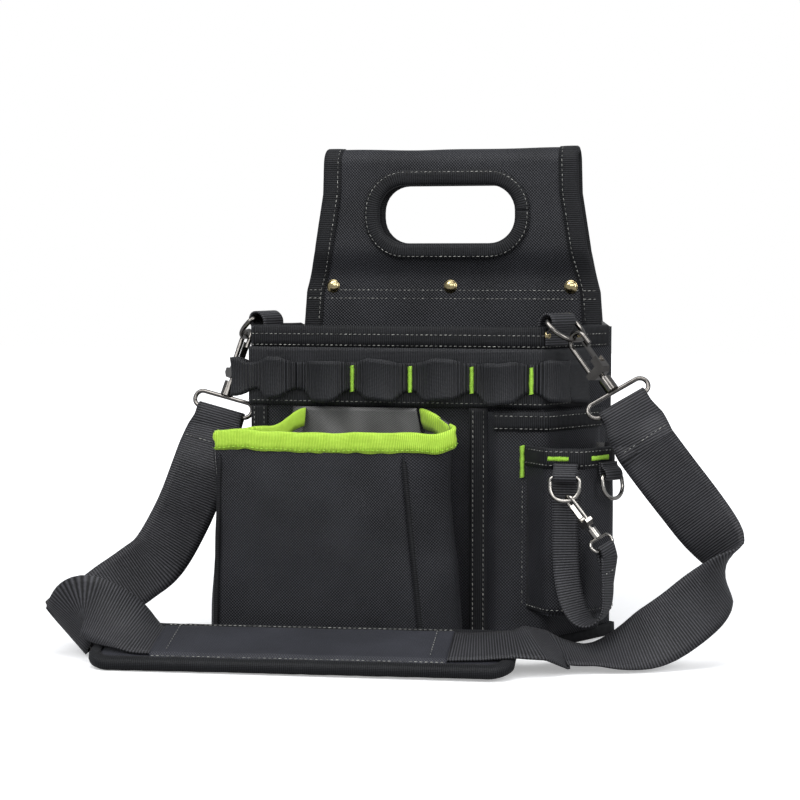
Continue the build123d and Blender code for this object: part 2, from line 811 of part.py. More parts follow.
large_body = snap_body(1.0, ring_wire)
large_gate = snap_gate(1.0)
large_eye = snap_eye(1.0, eye_wide)
hook_body_left = hung(large_body, hold_left, hook_across_left, axis_left)
save(hook_body_left, "hook_body_left")
hook_gate_left = hung(large_gate, hold_left, hook_across_left, axis_left)
save(hook_gate_left, "hook_gate_left")
hook_yoke_left = hung(large_eye, hold_left, eye_across_left, axis_left)
save(hook_yoke_left, "hook_yoke_left")
hook_body_right = hung(large_body, hold_right, hook_across_right, axis_right)
save(hook_body_right, "hook_body_right")
hook_gate_right = hung(large_gate, hold_right, hook_across_right, axis_right)
save(hook_gate_right, "hook_gate_right")
hook_yoke_right = hung(large_eye, hold_right, eye_across_right, axis_right)
save(hook_yoke_right, "hook_yoke_right")

# ---------------------------------------------------------------- small rings and the tape loop with its snap
tab_wide = 14.5
small_ring_wide = 18.0
small_ring_tall = 14.5
small_ring_rise = 5.8
small_ring_z = 113.5
small_section = [
    (2.0, 121.5),
    (2.2, 117),
    (2.9, 113),
    (4.6, 110.6),
    (7.2, 111.2),
    (8.3, 113.8),
    (7.0, 116.6),
    (4.0, 119),
    (3.7, 121.5),
]


def stitch_bar(middle, outward, long, tall):
    """A dense zigzag of thread standing just clear of the tape that it holds."""
    plane = Plane(origin=middle + outward * (wrap + skin), x_dir=outward, z_dir=outward.cross(up))
    return prism(plane, [(0, -tall / 2), (0.9, -tall / 2), (0.9, tall / 2), (0, tall / 2)], long / 2, both=True)


pocket_bartacks = group(
    stitch_bar(Vector(61.2, corner_y + wrap, 120.5), Vector(0, -1, 0), 2.8, 21),
    stitch_bar(Vector(*small_line[1], 124.2) + front_run * 7.6, front_out, 13, 3),
    stitch_bar(Vector(*small_line[2], 124.2) + side_run * 16, side_out, 16, 3),
)
save(pocket_bartacks, "pocket_bartacks")
tape_place = Vector(*small_line[1], 0) + front_run * 12.0
spare_place = Vector(*small_line[2], 0) + side_run * 21.0
tape_ring_tab = tab(tape_place, front_out, small_section, 1.0, tab_wide)
save(tape_ring_tab, "tape_ring_tab")
spare_ring_tab = tab(spare_place, side_out, small_section, 1.0, tab_wide)
save(spare_ring_tab, "spare_ring_tab")

small_ring = wire_loop(small_ring_wide, small_ring_tall, 2.6, 8.6, small_wire)
tape_lean = (front_out * 0.18 - up).normalized()
spare_lean = (side_out * 0.18 - up).normalized()
tape_bar = tape_place + front_out * small_ring_rise + up * small_ring_z
spare_bar = spare_place + side_out * small_ring_rise + up * small_ring_z
tape_ring = placed(small_ring, Plane(origin=tape_bar, x_dir=front_run, z_dir=front_run.cross(tape_lean)))
save(tape_ring, "tape_ring")
spare_ring = placed(small_ring, Plane(origin=spare_bar, x_dir=side_run, z_dir=side_run.cross(spare_lean)))
save(spare_ring, "spare_ring")

snap_size = 0.68
pull = radians(22)
snap_hold = tape_bar + front_run * 8.6 * sin(pull) + tape_lean * (small_ring_tall - 8.6 + 8.6 * cos(pull))
snap_axis = unit((0.628, -0.10, -0.776))
snap_across = turned(Vector(0.45, 0.85, 0.25), snap_axis, 0)
snap_face = turned(Vector(0.776, -0.05, 0.628), snap_axis, 50)
tape_wide = 16.0
small_body = snap_body(snap_size, small_wire)
tape_snap_body = hung(small_body, snap_hold, snap_face, snap_axis)
save(tape_snap_body, "tape_snap_body")
tape_snap_gate = hung(snap_gate(snap_size), snap_hold, snap_face, snap_axis)
save(tape_snap_gate, "tape_snap_gate")
tape_snap_eye = hung(snap_eye(snap_size, 20.0), snap_hold, snap_across, snap_axis)
save(tape_snap_eye, "tape_snap_eye")


def around(rod, leave, across, face, reach, hem, narrow, full):
    """Stations of webbing folded over a rod, from the end of its hem to where it leaves."""
    leave = (leave - across * leave.dot(across)).normalized()
    front = leave.cross(across)
    if front.dot(face) < 0:
        front = front * -1
    spots = [(hem, -1.2, full), (hem * 0.5, -1.3, full), (reach * 2.4, -reach, narrow)]
    for angle in range(0, 181, 30):
        turn = radians(angle)
        spots.append((-reach * sin(turn), -reach * cos(turn), narrow))
    spots += [(reach * 2.4, reach, narrow), (hem * 0.5, 1.2, full)]
    rows = []
    for along, out, wide in spots:
        point = rod + leave * along + front * out
        rows.append((point.X, point.Y, point.Z, across.X, across.Y, across.Z, wide))
    return rows


snap_rod = snap_hold + snap_axis * (rod_y + eye_tall) * snap_size
tape_leave = Vector(0.12, -0.08, -1.0)
tape_turn = [
    (119.5, -70.5, 50, 0.25, 0.93, 0.15),
    (119.0, -72.5, 36, 0.2, 0.95, 0.1),
    (113.5, -74.0, 27, 0.2, 0.95, 0.1),
    (104.5, -71.5, 27, 0.45, 0.85, 0.2),
    (97.0, -66.0, 38, 0.85, 0.45, 0.2),
    (92.6, -62.0, 58, 1, 0.1, 0.05),
    (91.6, -60.4, 88, 1, 0.046, 0),
]
tape_top = tape_place + front_out * (seat + 0.6) + up * 117.4
tape_turn.append((tape_top.X, tape_top.Y, tape_top.Z, 1, 0.046, 0))
tape_start = around(snap_rod, tape_leave, snap_across, Vector(0.5, -0.8, 0), 1.9, 13, 13.4, tape_wide)
tape_strap = ribbon([*tape_start, *rounded(tape_turn, 3)], tape_wide, 1.1)
save(tape_strap, "tape_strap")

# ---------------------------------------------------------------- pad on the shoulder strap
pad_run = unit((-180, -18, -1.0))
pad_across = Vector(-0.12, 0.962, 0.235)
pad_across = (pad_across - pad_run * pad_across.dot(pad_run)).normalized()
pad_up = pad_across.cross(pad_run)
pad_middle = Vector(-58, -122.5, 14.8)
pad_plane = Plane(origin=pad_middle, x_dir=pad_run, z_dir=pad_up)
pad_face = -(web / 2 + seat)


def pad_block(long, wide, radius, low, high):
    """A flat block of the pad between two heights above the webbing's middle."""
    with BuildPart() as block:
        with BuildSketch(pad_plane.offset(low)):
            RectangleRounded(long, wide, radius)
        extrude(amount=high - low)
    return block


pad_base = pad_block(pad_long, pad_wide, 16, pad_face - pad_thick, pad_face)
save(pad_base, "pad_base")
pad_ring = pad_block(pad_long + 2.6, pad_wide + 2.6, 17.3, pad_face - pad_thick, pad_face)
pad_binding = less(pad_ring, pad_block(pad_long + 0.5, pad_wide + 0.5, 16.25, pad_face - 20, 20))
save(pad_binding, "pad_binding")
sleeve_face = web / 2 + seat
sleeve_body = pad_block(sleeve_long, pad_wide - 5, 2, pad_face + seat, sleeve_face + lining)
sleeve_tunnel = pad_block(sleeve_long + 20, strap_wide + 2, 0.5, pad_face - 5, sleeve_face)
pad_sleeve = less(sleeve_body, sleeve_tunnel)
save(pad_sleeve, "pad_sleeve")

# ---------------------------------------------------------------- shoulder webbing and its adjuster


def on_pad(along, across, above, twist=(0, 0, 0)):
    """A webbing station in the pad's own directions."""
    point = pad_middle + pad_run * along + pad_across * across + pad_up * above
    wide = pad_across + Vector(*twist)
    return (point.X, point.Y, point.Z, wide.X, wide.Y, wide.Z)


rod_right = hold_right + axis_right * (rod_y + eye_tall)
rod_left = hold_left + axis_left * (rod_y + eye_tall)
eye_reach = yoke_wire + 0.3 + web / 2
right_leave = Vector(0.45, -0.06, -0.89)
eye_fit = 32.5                # the webbing crowds to this width inside an eye
right_start = around(
    rod_right, right_leave, eye_across_right, Vector(0, -1, 0), eye_reach, 30, eye_fit, strap_wide
)
right_turn = [
    (139, -51, 133, 0.80, 0.05, 0.59),
    (152, -47, 115, 0.80, 0.10, 0.60),
    (172, -41, 88, 0.74, -0.05, 0.62),
    (187, -43, 67, 0.52, -0.45, 0.66),
    (185, -55, 51, -0.30, -0.46, 0.80),
    (172, -67, 37, -0.62, -0.05, 0.76),
    (152, -74, 22, -0.62, 0.25, 0.70),
    (130, -78, 12, -0.35, 0.80, 0.45),
    (110, -83, 8.5, -0.05, 1, 0.12),
    (92, -90, 12, 0.0, 1, 0.16),
]
pad_stretch = [
    on_pad(-140, 6, 1.2),
    on_pad(-128, 4, 0.9),
    on_pad(-108, 1, 0.3),
    on_pad(-92, 0, 0),
    on_pad(0, 0, 0),
    on_pad(92, 0, 0),
    on_pad(108, 1, 0.3),
    on_pad(124, 2.5, 1.0),
    on_pad(133, 4, 2.4, (0, 0, 0.1)),
]

glide_middle = Vector(-210.5, -109, 19.0)
glide_run = unit((-0.10, 0.98, 0.10))
glide_across = Vector(-0.62, -0.05, 0.72)
glide_across = (glide_across - glide_run * glide_across.dot(glide_run)).normalized()
glide_up = glide_run.cross(glide_across)
glide_half = 13.0
glide_bar = 1.2
glide_slot = strap_wide + 2.0  # the webbing runs in it with 1 mm to spare on each side
glide_rim = 2.5


def on_glide(along, above):
    """A webbing station in the adjuster's own directions."""
    point = glide_middle + glide_run * along + glide_up * above
    return (point.X, point.Y, point.Z, glide_across.X, glide_across.Y, glide_across.Z)


under = -(glide_bar + 0.35 + web / 2)
bar_reach = glide_bar + 0.2 + web / 2
over = bar_reach + web + 0.5
glide_stretch = [
    on_glide(-19, under * 0.7),
    on_glide(-glide_half - 2, under),
    on_glide(-glide_half + 1.5, under),
    on_glide(-8, under * 0.1),
    on_glide(-5, over * 0.62),
    on_glide(-2.5, over * 0.93),
    on_glide(0, over),
    on_glide(2.5, over * 0.93),
    on_glide(5, over * 0.62),
    on_glide(8, under * 0.1),
    on_glide(glide_half - 1.5, under),
    on_glide(glide_half + 2, under),
]
left_leg = [
    (-208.5, -88, 25, -0.66, -0.12, 0.72),
    (-199, -77, 34, -0.72, -0.22, 0.64),
    (-186, -67, 44, -0.74, -0.30, 0.58),
    (-173, -59.5, 56, -0.76, -0.35, 0.52),
    (-160, -48, 84, -0.80, -0.42, 0.42),
    (-151, -41, 112, -0.88, -0.30, 0.34),
]
left_leg = rounded(left_leg, 2)
left_leave = Vector(-0.30, -0.22, -0.93)
left_end = around(
    rod_left, left_leave, eye_across_left * -1, Vector(0, -1, 0), eye_reach, 24, eye_fit, strap_wide
)
left_end.reverse()
strap_stations = [
    *right_start,
    *rounded(right_turn, 2),
    *pad_stretch,
    (-200, -127.5, 19.5, -0.15, 0.45, 0.85),
    *glide_stretch,
    *left_leg,
    *left_end,
]
strap_webbing = ribbon(strap_stations, strap_wide, web)
save(strap_webbing, "strap_webbing")

# The webbing's second layer runs back down behind the first, from the left eye to the adjuster.
behind = web + 0.5
return_start = []
for angle in range(180, -1, -30):
    turn = radians(angle)
    return_start.append(on_glide(-bar_reach * sin(turn), -bar_reach * cos(turn)))
return_start += [
    on_glide(3, -bar_reach - 0.5),
    on_glide(8, under - behind + 0.3),
    on_glide(glide_half - 1, under - behind),
    on_glide(glide_half + 2, under - behind),
]
strap_return = ribbon(return_start, strap_wide, web)
leg_back = [on_glide(glide_half + 2, under), *left_leg]
strap_leg_back = ribbon(leg_back, strap_wide, web, lift=-behind)
save(strap_leg_back, "strap_return")
save(strap_return, "strap_return_end")

with BuildPart() as tri_glide:
    with BuildSketch(Plane(origin=glide_middle - glide_up * glide_bar, x_dir=glide_run, z_dir=glide_up)):
        RectangleRounded(2 * glide_half + 2.4, glide_slot + 2 * glide_rim, 3)
        Rectangle(2 * glide_half - 2.4, glide_slot, mode=Mode.SUBTRACT)
    extrude(amount=2 * glide_bar)
    with BuildSketch(Plane(origin=glide_middle - glide_across * (glide_slot / 2 + 0.5), z_dir=glide_across)):
        Circle(glide_bar)
    extrude(amount=glide_slot + 1)
save(tri_glide, "tri_glide")

total = 0.0
for start, end in zip(strap_stations, strap_stations[1:]):
    total += (Vector(*end[:3]) - Vector(*start[:3])).length
strap_long = total
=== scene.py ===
"""Looks of the electrician tool pouch: cloth, webbing, binding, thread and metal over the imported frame."""

from math import cos, pi, radians, sin, sqrt

import bmesh
import bpy
from mathutils import Matrix, Vector, noise


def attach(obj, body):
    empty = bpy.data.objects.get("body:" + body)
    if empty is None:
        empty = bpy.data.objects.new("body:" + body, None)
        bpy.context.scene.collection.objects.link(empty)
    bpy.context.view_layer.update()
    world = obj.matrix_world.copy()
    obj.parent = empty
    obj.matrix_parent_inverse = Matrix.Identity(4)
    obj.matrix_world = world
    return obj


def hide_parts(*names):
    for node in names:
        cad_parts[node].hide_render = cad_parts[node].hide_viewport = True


bl_info = {
    "name": "Electrician Tool Pouch",
    "version": (1, 0, 0),
    "blender": (4, 5, 0),
    "location": "View3D > Sidebar > Tool Pouch",
    "description": "Builds the cloth, webbing, thread and metal of a tool pouch",
    "category": "Object",
}

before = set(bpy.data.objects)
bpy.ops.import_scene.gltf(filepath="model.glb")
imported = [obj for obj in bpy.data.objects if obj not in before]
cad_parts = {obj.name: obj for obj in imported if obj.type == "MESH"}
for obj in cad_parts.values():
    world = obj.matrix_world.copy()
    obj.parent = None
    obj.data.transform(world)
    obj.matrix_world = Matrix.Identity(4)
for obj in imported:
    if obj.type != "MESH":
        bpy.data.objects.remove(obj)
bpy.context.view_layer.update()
MM = 0.001
# Up, and out of the bag's front.
UP, FORWARD = Vector((0, 0, 1)), Vector((0, -1, 0))

# ---------------------------------------------------------------- measurements, in millimetres
# The bag's front and back faces, and where its sides end.
FRONT_Y, BACK_Y, SIDE_END_Y = -34.0, 30.0, 28.0
# Its left and right edges, at the front and at the back.
LEFT_X, RIGHT_X = -119.0, 72.0
REAR_LEFT_X, REAR_RIGHT_X = -103.0, 107.0
# Foot and head of its walls, and the edge of its collar tape.
WALL_LOW, WALL_HIGH, COLLAR_Z = 3.4, 203.0, 204.0
# The band behind the tool loops, and the looped webbing on it.
BAND_LOW, BAND_HIGH = 153.0, 190.2
LOOP_LOW, LOOP_HIGH = 158.0, 183.0
# Thickness of the bag's cloth, of its pockets' cloth and of the webbing.
SHELL, POCKET_CLOTH, WEB = 2.0, 1.3, 1.5
# Foot of the bellows pocket, and the height at which its upper plan is given.
POCKET_LOW, POCKET_HEAD = 2.6, 160.0
# Feet of the corner pocket and the slip pocket, and the slip pocket's face at the corner.
SMALL_LOW, TALL_LOW, CORNER_Y = 28.0, 9.0, -41.2
# Places of the top rings along the bag's sides.
RING_LEFT_Y, RING_RIGHT_Y = -14, -22.8


# ---------------------------------------------------------------- small helpers
def made_square(direction, axis):
    """A direction made square to an axis."""
    return (direction - axis * direction.dot(axis)).normalized()


def unit(*values):
    """Direction of three numbers or of a vector."""
    return Vector(values[0] if len(values) == 1 else values).normalized()


def lerp(a, b, t):
    """Value between two others."""
    return a + (b - a) * t


def ease(t):
    """Smooth step from 0 to 1."""
    t = min(1.0, max(0.0, t))
    return t * t * (3 - 2 * t)


def on_side(left, y):
    """Plan point of a bag side's outer face at the given y."""
    x, back = (LEFT_X, REAR_LEFT_X) if left else (RIGHT_X, REAR_RIGHT_X)
    return Vector((x + (back - x) * (y - FRONT_Y) / (SIDE_END_Y - FRONT_Y), y, 0))


# Directions back along each side, and out of it.
SIDE_LEFT = unit(REAR_LEFT_X - LEFT_X, SIDE_END_Y - FRONT_Y, 0)
SIDE_RIGHT = unit(REAR_RIGHT_X - RIGHT_X, SIDE_END_Y - FRONT_Y, 0)
OUT_LEFT = Vector((-SIDE_LEFT.y, SIDE_LEFT.x, 0))
OUT_RIGHT = Vector((SIDE_RIGHT.y, -SIDE_RIGHT.x, 0))


def smooth_line(points, steps):
    """Points of a smooth curve through the given ones, whatever their number of values."""
    rows = [[float(value) for value in row] for row in points]
    rows = [rows[0], *rows, rows[-1]]
    curve = []
    for a, b, c, d in zip(rows, rows[1:], rows[2:], rows[3:]):
        for step in range(steps):
            t = step / steps
            curve.append(
                [
                    q + 0.5 * ((r - p) * t + (2 * p - 5 * q + 4 * r - s) * t * t + (3 * q - p - 3 * r + s) * t**3)
                    for p, q, r, s in zip(a, b, c, d)
                ]
            )
    curve.append(rows[-1])
    return curve


def in_space(point):
    """A plan or space point as a vector of three numbers."""
    return Vector((point[0], point[1], point[2] if len(point) > 2 else 0.0))


class Line:
    """An open line in space that can be read at any share of its length."""

    def __init__(self, points):
        self.points = [in_space(point) for point in points]
        self.marks = [0.0]
        for a, b in zip(self.points, self.points[1:]):
            self.marks.append(self.marks[-1] + (b - a).length)
        self.length = self.marks[-1]

    def stretch(self, t):
        """Index of the stretch that a share of the length falls in, and the share of that stretch."""
        want = t * self.length
        index = 0
        while index < len(self.marks) - 2 and self.marks[index + 1] < want:
            index += 1
        span = self.marks[index + 1] - self.marks[index]
        return index, (want - self.marks[index]) / span if span else 0.0

    def at(self, t):
        """Point and direction at a share of the length."""
        index, share = self.stretch(min(max(t, 0.0), 1.0))
        a, b = self.points[index], self.points[index + 1]
        return a.lerp(b, share), (b - a).normalized()

    def soft(self, t, reach=0.006):
        """Point and averaged direction at a share of the length."""
        ahead, behind = self.at(min(t + reach, 1.0))[0], self.at(max(t - reach, 0.0))[0]
        return self.at(t)[0], (ahead - behind).normalized()


def flat_out(direction):
    """Outward plan normal of a line that runs with the bag on its left."""
    return Vector((direction.y, -direction.x, 0)).normalized()


def ripple(point, size, amount):
    """Smooth unevenness of sewn cloth at a place."""
    return noise.noise(Vector(point) / size) * amount


# ---------------------------------------------------------------- mesh and object makers
def finish_object(
    name, bm, body, finish, nodes, slot, thick=0.0, offset=-1.0, smooth=True, inside=None
):
    """Turns a bmesh in millimetres into a finished piece riding on a body, its other side in a finish of its own."""
    bmesh.ops.scale(bm, vec=(MM, MM, MM), verts=bm.verts)
    mesh = bpy.data.meshes.new(name)
    bm.to_mesh(mesh)
    bm.free()
    for face in mesh.polygons:
        face.use_smooth = smooth
    for each in (finish, inside) if inside else (finish,):
        mesh.materials.append(FINISH[each])
    piece = bpy.data.objects.new(name, mesh)
    bpy.context.scene.collection.objects.link(piece)
    if thick:
        solid = piece.modifiers.new("cloth thickness", "SOLIDIFY")
        solid.thickness = thick * MM
        solid.offset = offset
        solid.use_even_offset = False
        solid.material_offset = 1 if inside else 0
    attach(piece, body)
    if nodes:
        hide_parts(*nodes)
    return piece


def sheet_mesh(cols, rows, place, flat, merge=False):
    """A grid whose points are put where place(u, v) says, with the cloth's own size as its UV map."""
    bm = bmesh.new()
    bmesh.ops.create_grid(bm, x_segments=cols, y_segments=rows, size=0.5, calc_uvs=True)
    layer = bm.loops.layers.uv.verify()
    for face in bm.faces:
        for loop in face.loops:
            u, v = loop.vert.co.x + 0.5, loop.vert.co.y + 0.5
            loop[layer].uv = flat(u, v) if callable(flat) else (u * flat[0], v * flat[1])
    for vert in bm.verts:
        vert.co = place(vert.co.x + 0.5, vert.co.y + 0.5)
    if merge:
        bmesh.ops.remove_doubles(bm, verts=bm.verts, dist=0.02)
    return bm


def ribbon_place(stations, width, lift):
    """Place function for flat webbing through stations of centre, width direction and own width."""
    centres = Line([row[:3] for row in stations])
    frames = []
    for index, row in enumerate(stations):
        ahead, behind = stations[min(index + 1, len(stations) - 1)], stations[max(index - 1, 0)]
        run = (Vector(ahead[:3]) - Vector(behind[:3])).normalized()
        across = made_square(Vector(row[3:6]), run)
        frames.append((Vector(row[:3]), across, run.cross(across), row[6] if len(row) > 6 else width))

    def place(u, v):
        index, share = centres.stretch(u)
        share = min(1.0, share)
        a, b = frames[index], frames[index + 1]
        point = a[0].lerp(b[0], share)
        across = a[1].lerp(b[1], share).normalized()
        above = a[2].lerp(b[2], share).normalized()
        return point + across * (v - 0.5) * lerp(a[3], b[3], share) + above * lift

    return place, centres.length


def ribbon(name, stations, width, thick, body, node, step, lift=0.0):
    """Flat black webbing as one piece."""
    place, length = ribbon_place(stations, width, lift)
    bm = sheet_mesh(max(8, int(length / step)), 8, place, (length, width))
    finish_object(name, bm, body, "webbing", (node,), "black_webbing", thick, 0.0)


def folded_tape(
    name, edge, down, out, reach, core, node, cols, tape=0.9, merge=False, pucker=0.25, body="pouch", finish="tape",
    slot="black_tape",
):
    """Binding tape folded over a cloth edge. edge(t) gives the edge, down(t) and out(t) its directions."""
    half = core / 2 + tape + 0.1
    section = [(1, reach, 0.0), (1, reach * 0.66, 0.25), (1, reach * 0.33, 0.25), (0.98, 1.3, 0.1)]
    section += [(0.7, 0.25, 0), (0, -0.15, 0)]
    section += [(-side, depth, swell) for side, depth, swell in reversed(section[:-1])]
    length = Line([edge(index / 60) for index in range(61)]).length
    rows = len(section) - 1
    across = [0.0]
    for a, b in zip(section, section[1:]):
        across.append(across[-1] + sqrt(((a[0] - b[0]) * half) ** 2 + (a[1] - b[1]) ** 2))

    def place(u, v):
        side, depth, swell = section[round(v * rows)]
        bump = ripple((u * length, depth * 2, side * 3), 7.0, pucker)
        hem = ripple((u * length, side * 9, 4.0), 9.0, pucker) if depth > reach * 0.9 else 0.0
        away = side * half + (swell + bump) * (1 if side > 0 else -1)
        return edge(u) + out(u) * away + down(u) * (depth + hem)

    bm = sheet_mesh(cols, rows, place, lambda u, v: (u * length, across[round(v * rows)]), merge)
    return finish_object(name, bm, body, finish, (node,), slot, tape)


def rim_tape(name, line, high, wave, reach, core, node, cols, down=-UP, **more):
    """Binding tape over the level edge of a wall. wave is the size and the amount of its unevenness."""
    folded_tape(
        name, lambda t: line.at(t)[0] + UP * (high + ripple(line.at(t)[0], *wave)), lambda t: down,
        lambda t: flat_out(line.soft(t)[1]), reach, core, node, cols, **more,
    )


def stitches(name, rows, body, finish, pitch, long=2.2, radius=0.25, nodes=(), slot=None):
    """Rows of thread. Each row is (points, outward direction) with the thread lying on the points."""
    bead = bmesh.new()
    bmesh.ops.create_uvsphere(bead, u_segments=6, v_segments=4, radius=1.0)
    bead.verts.index_update()
    corners = [vert.co.copy() for vert in bead.verts]
    sides = [[vert.index for vert in face.verts] for face in bead.faces]
    bead.free()
    bm = bmesh.new()
    for points, outward in rows:
        line = Line(points)
        count = max(1, int(line.length / pitch))
        for index in range(count):
            middle, run = line.at((index + 0.5) / count)
            face = made_square(outward(middle) if callable(outward) else Vector(outward), run)
            stray = noise.noise(middle / 2.7)
            turn = Matrix((run, face.cross(run), face)).transposed().to_4x4()
            place = Matrix.Translation(middle + face * radius * (0.2 + 0.5 * stray)) @ turn
            size = (long * (1 + 0.25 * stray) / 2, radius, radius, 1)
            place = place @ Matrix.Rotation(radians(4 + 9 * stray), 4, "Z") @ Matrix.Diagonal(size)
            spots = [bm.verts.new(place @ corner) for corner in corners]
            for side in sides:
                bm.faces.new([spots[corner] for corner in side])
    finish_object(name, bm, body, finish, nodes, slot)


def tack_rows(first, along, across, count, half):
    """Close stitches of a bar tack: its first stitch's middle, the bar's step and its stitches' direction."""
    rows = []
    for index in range(count):
        middle, slant = first + along * index, along.normalized() * 0.2
        rows.append([middle - across * half - slant, middle + across * half + slant])
    return rows


# ---------------------------------------------------------------- materials
def colour(text):
    """Scene-linear colour of an sRGB hex value."""
    values = [int(text[start : start + 2], 16) / 255 for start in (1, 3, 5)]
    return (*[c / 12.92 if c <= 0.04045 else ((c + 0.055) / 1.055) ** 2.4 for c in values], 1.0)


class Finish:
    """A material under construction."""

    def __init__(self, name, base, roughness=0.6, metallic=0.0):
        self.material = bpy.data.materials.new(name)
        self.material.use_nodes = True
        self.tree = self.material.node_tree
        self.shader = self.tree.nodes["Principled BSDF"]
        self.put(("Base Color", colour(base)), ("Roughness", roughness), ("Metallic", metallic))

    def put(self, *pairs):
        """Sets shader sockets to plain values."""
        for socket, value in pairs:
            self.shader.inputs[socket].default_value = value

    def add(self, kind, values=(), **settings):
        """Adds a node. values are (socket, number or link) pairs."""
        node = self.tree.nodes.new(kind)
        for key, value in settings.items():
            setattr(node, key, value)
        for socket, value in values:
            if isinstance(value, bpy.types.NodeSocket):
                self.tree.links.new(value, node.inputs[socket])
            else:
                node.inputs[socket].default_value = value
        return node

    def maths(self, operation, a, b=0.0):
        """Adds a maths node and returns its result."""
        return self.add("ShaderNodeMath", ((0, a), (1, b)), operation=operation).outputs[0]

    def wave(self, value, pitch):
        """Sine of a length in millimetres with the given pitch."""
        return self.maths("SINE", self.maths("MULTIPLY", value, 2 * pi / pitch))

    def share(self, wave):
        """A wave from -1 to 1 brought to 0 to 1."""
        return self.maths("ADD", self.maths("MULTIPLY", wave, 0.5), 0.5)

    def cloth_uv(self, turn=0.0):
        """Separated U and V of the cloth, in millimetres, turned by some degrees."""
        where = self.add("ShaderNodeTexCoord").outputs["UV"]
        mapped = self.add("ShaderNodeMapping", ((0, where), (2, (0, 0, radians(turn)))))
        split = self.add("ShaderNodeSeparateXYZ", ((0, mapped.outputs[0]),))
        return split.outputs[0], split.outputs[1]

    def speckle(self, scale, detail=2.0):
        """Noise over the object's own space, scale in features per metre."""
        where = self.add("ShaderNodeTexCoord").outputs["Object"]
        return self.add("ShaderNodeTexNoise", (("Vector", where), ("Scale", scale), ("Detail", detail))).outputs[0]

    def blend(self, factor, low, high):
        """Colour between two hex colours."""
        mix = self.add("ShaderNodeMix", ((0, factor), (6, colour(low)), (7, colour(high))), data_type="RGBA")
        return mix.outputs[2]

    def link(self, socket, value):
        """Feeds a shader socket."""
        self.tree.links.new(value, self.shader.inputs[socket])

    def bump(self, height, strength, distance):
        """Raises the surface by a height value, distance in millimetres."""
        node = self.add("ShaderNodeBump", (("Strength", strength), ("Distance", distance * MM), ("Height", height)))
        self.link("Normal", node.outputs[0])

    def textile(self, height, power, unevenness, dark, light, depth, shine, sheen):
        """Colour and bump that follow the weave's height, with painted highlight on the raised threads and painted
        shade in the hollows, patchy in tone, with a soft glow of fibre ends.
        """
        grain, blotch, patchy = unevenness
        uneven = self.maths("MULTIPLY", self.speckle(grain, 3.0), 0.7)
        # Painted highlight and shade: brighter where the weave stands high, darker where it sinks, made patchy at
        # random.
        tone = self.maths("MULTIPLY", self.maths("POWER", height, power), self.maths("ADD", uneven, 0.55))
        patch = self.maths("MULTIPLY", self.maths("SUBTRACT", self.speckle(blotch), 0.5), patchy)
        self.link("Base Color", self.blend(self.maths("ADD", tone, patch), dark, light))
        self.bump(height, 1.0, depth)
        self.put(("Specular IOR Level", shine), ("Sheen Weight", sheen), ("Sheen Roughness", 0.45))
        self.put(("Sheen Tint", colour("#ffffff")))
        return self.material


def woven(name, dark, light, pitch, turn, gloss, depth, shine):
    """Basket-woven pack cloth: thread crowns painted bright as highlights in diamonds, gaps painted dark as shade,
    slightly uneven in tone.
    """
    cloth = Finish(name, dark, gloss)
    u, v = cloth.cloth_uv(turn)
    crown = cloth.share(cloth.maths("MULTIPLY", cloth.wave(u, pitch), cloth.wave(v, pitch)))
    return cloth.textile(crown, 2.0, (900.0, 28.0, 0.35), dark, light, depth, shine, 0.03)


def ribbed(name, dark, light, pitch, gloss, depth, shine, sheen=0.04):
    """Ribbed tape or webbing: ribs across its length painted lighter as highlights and the furrows darker as shade,
    fine threads along it.
    """
    tape = Finish(name, dark, gloss)
    run, across = tape.cloth_uv()
    rib, thread = tape.share(tape.wave(run, pitch)), tape.share(tape.wave(across, 0.8))
    height = tape.maths("ADD", tape.maths("MULTIPLY", rib, 0.72), tape.maths("MULTIPLY", thread, 0.28))
    return tape.textile(height, 1.6, (700.0, 45.0, 0.3), dark, light, depth, shine, sheen)


def metal(name, base, dull):
    """Plated metal: bright with faint cloudy dulling and fine scratches."""
    rough, worn = 0.2, 0.12
    plate = Finish(name, base, rough, 1.0)
    plate.link("Base Color", plate.blend(plate.speckle(180.0, 3.0), dull, base))
    level = plate.maths("ADD", plate.maths("MULTIPLY", plate.speckle(420.0, 4.0), worn), rough - worn / 2)
    plate.link("Roughness", level)
    plate.bump(plate.speckle(900.0), 0.12, 0.05)
    return plate.material


def flecked(name, base, rough, scale, low, high, grain, strength):
    """Plain stuff whose colour and surface vary in small flecks."""
    stuff = Finish(name, base, rough)
    stuff.link("Base Color", stuff.blend(stuff.speckle(scale), low, high))
    stuff.bump(stuff.speckle(grain), strength, 0.1)
    return stuff.material


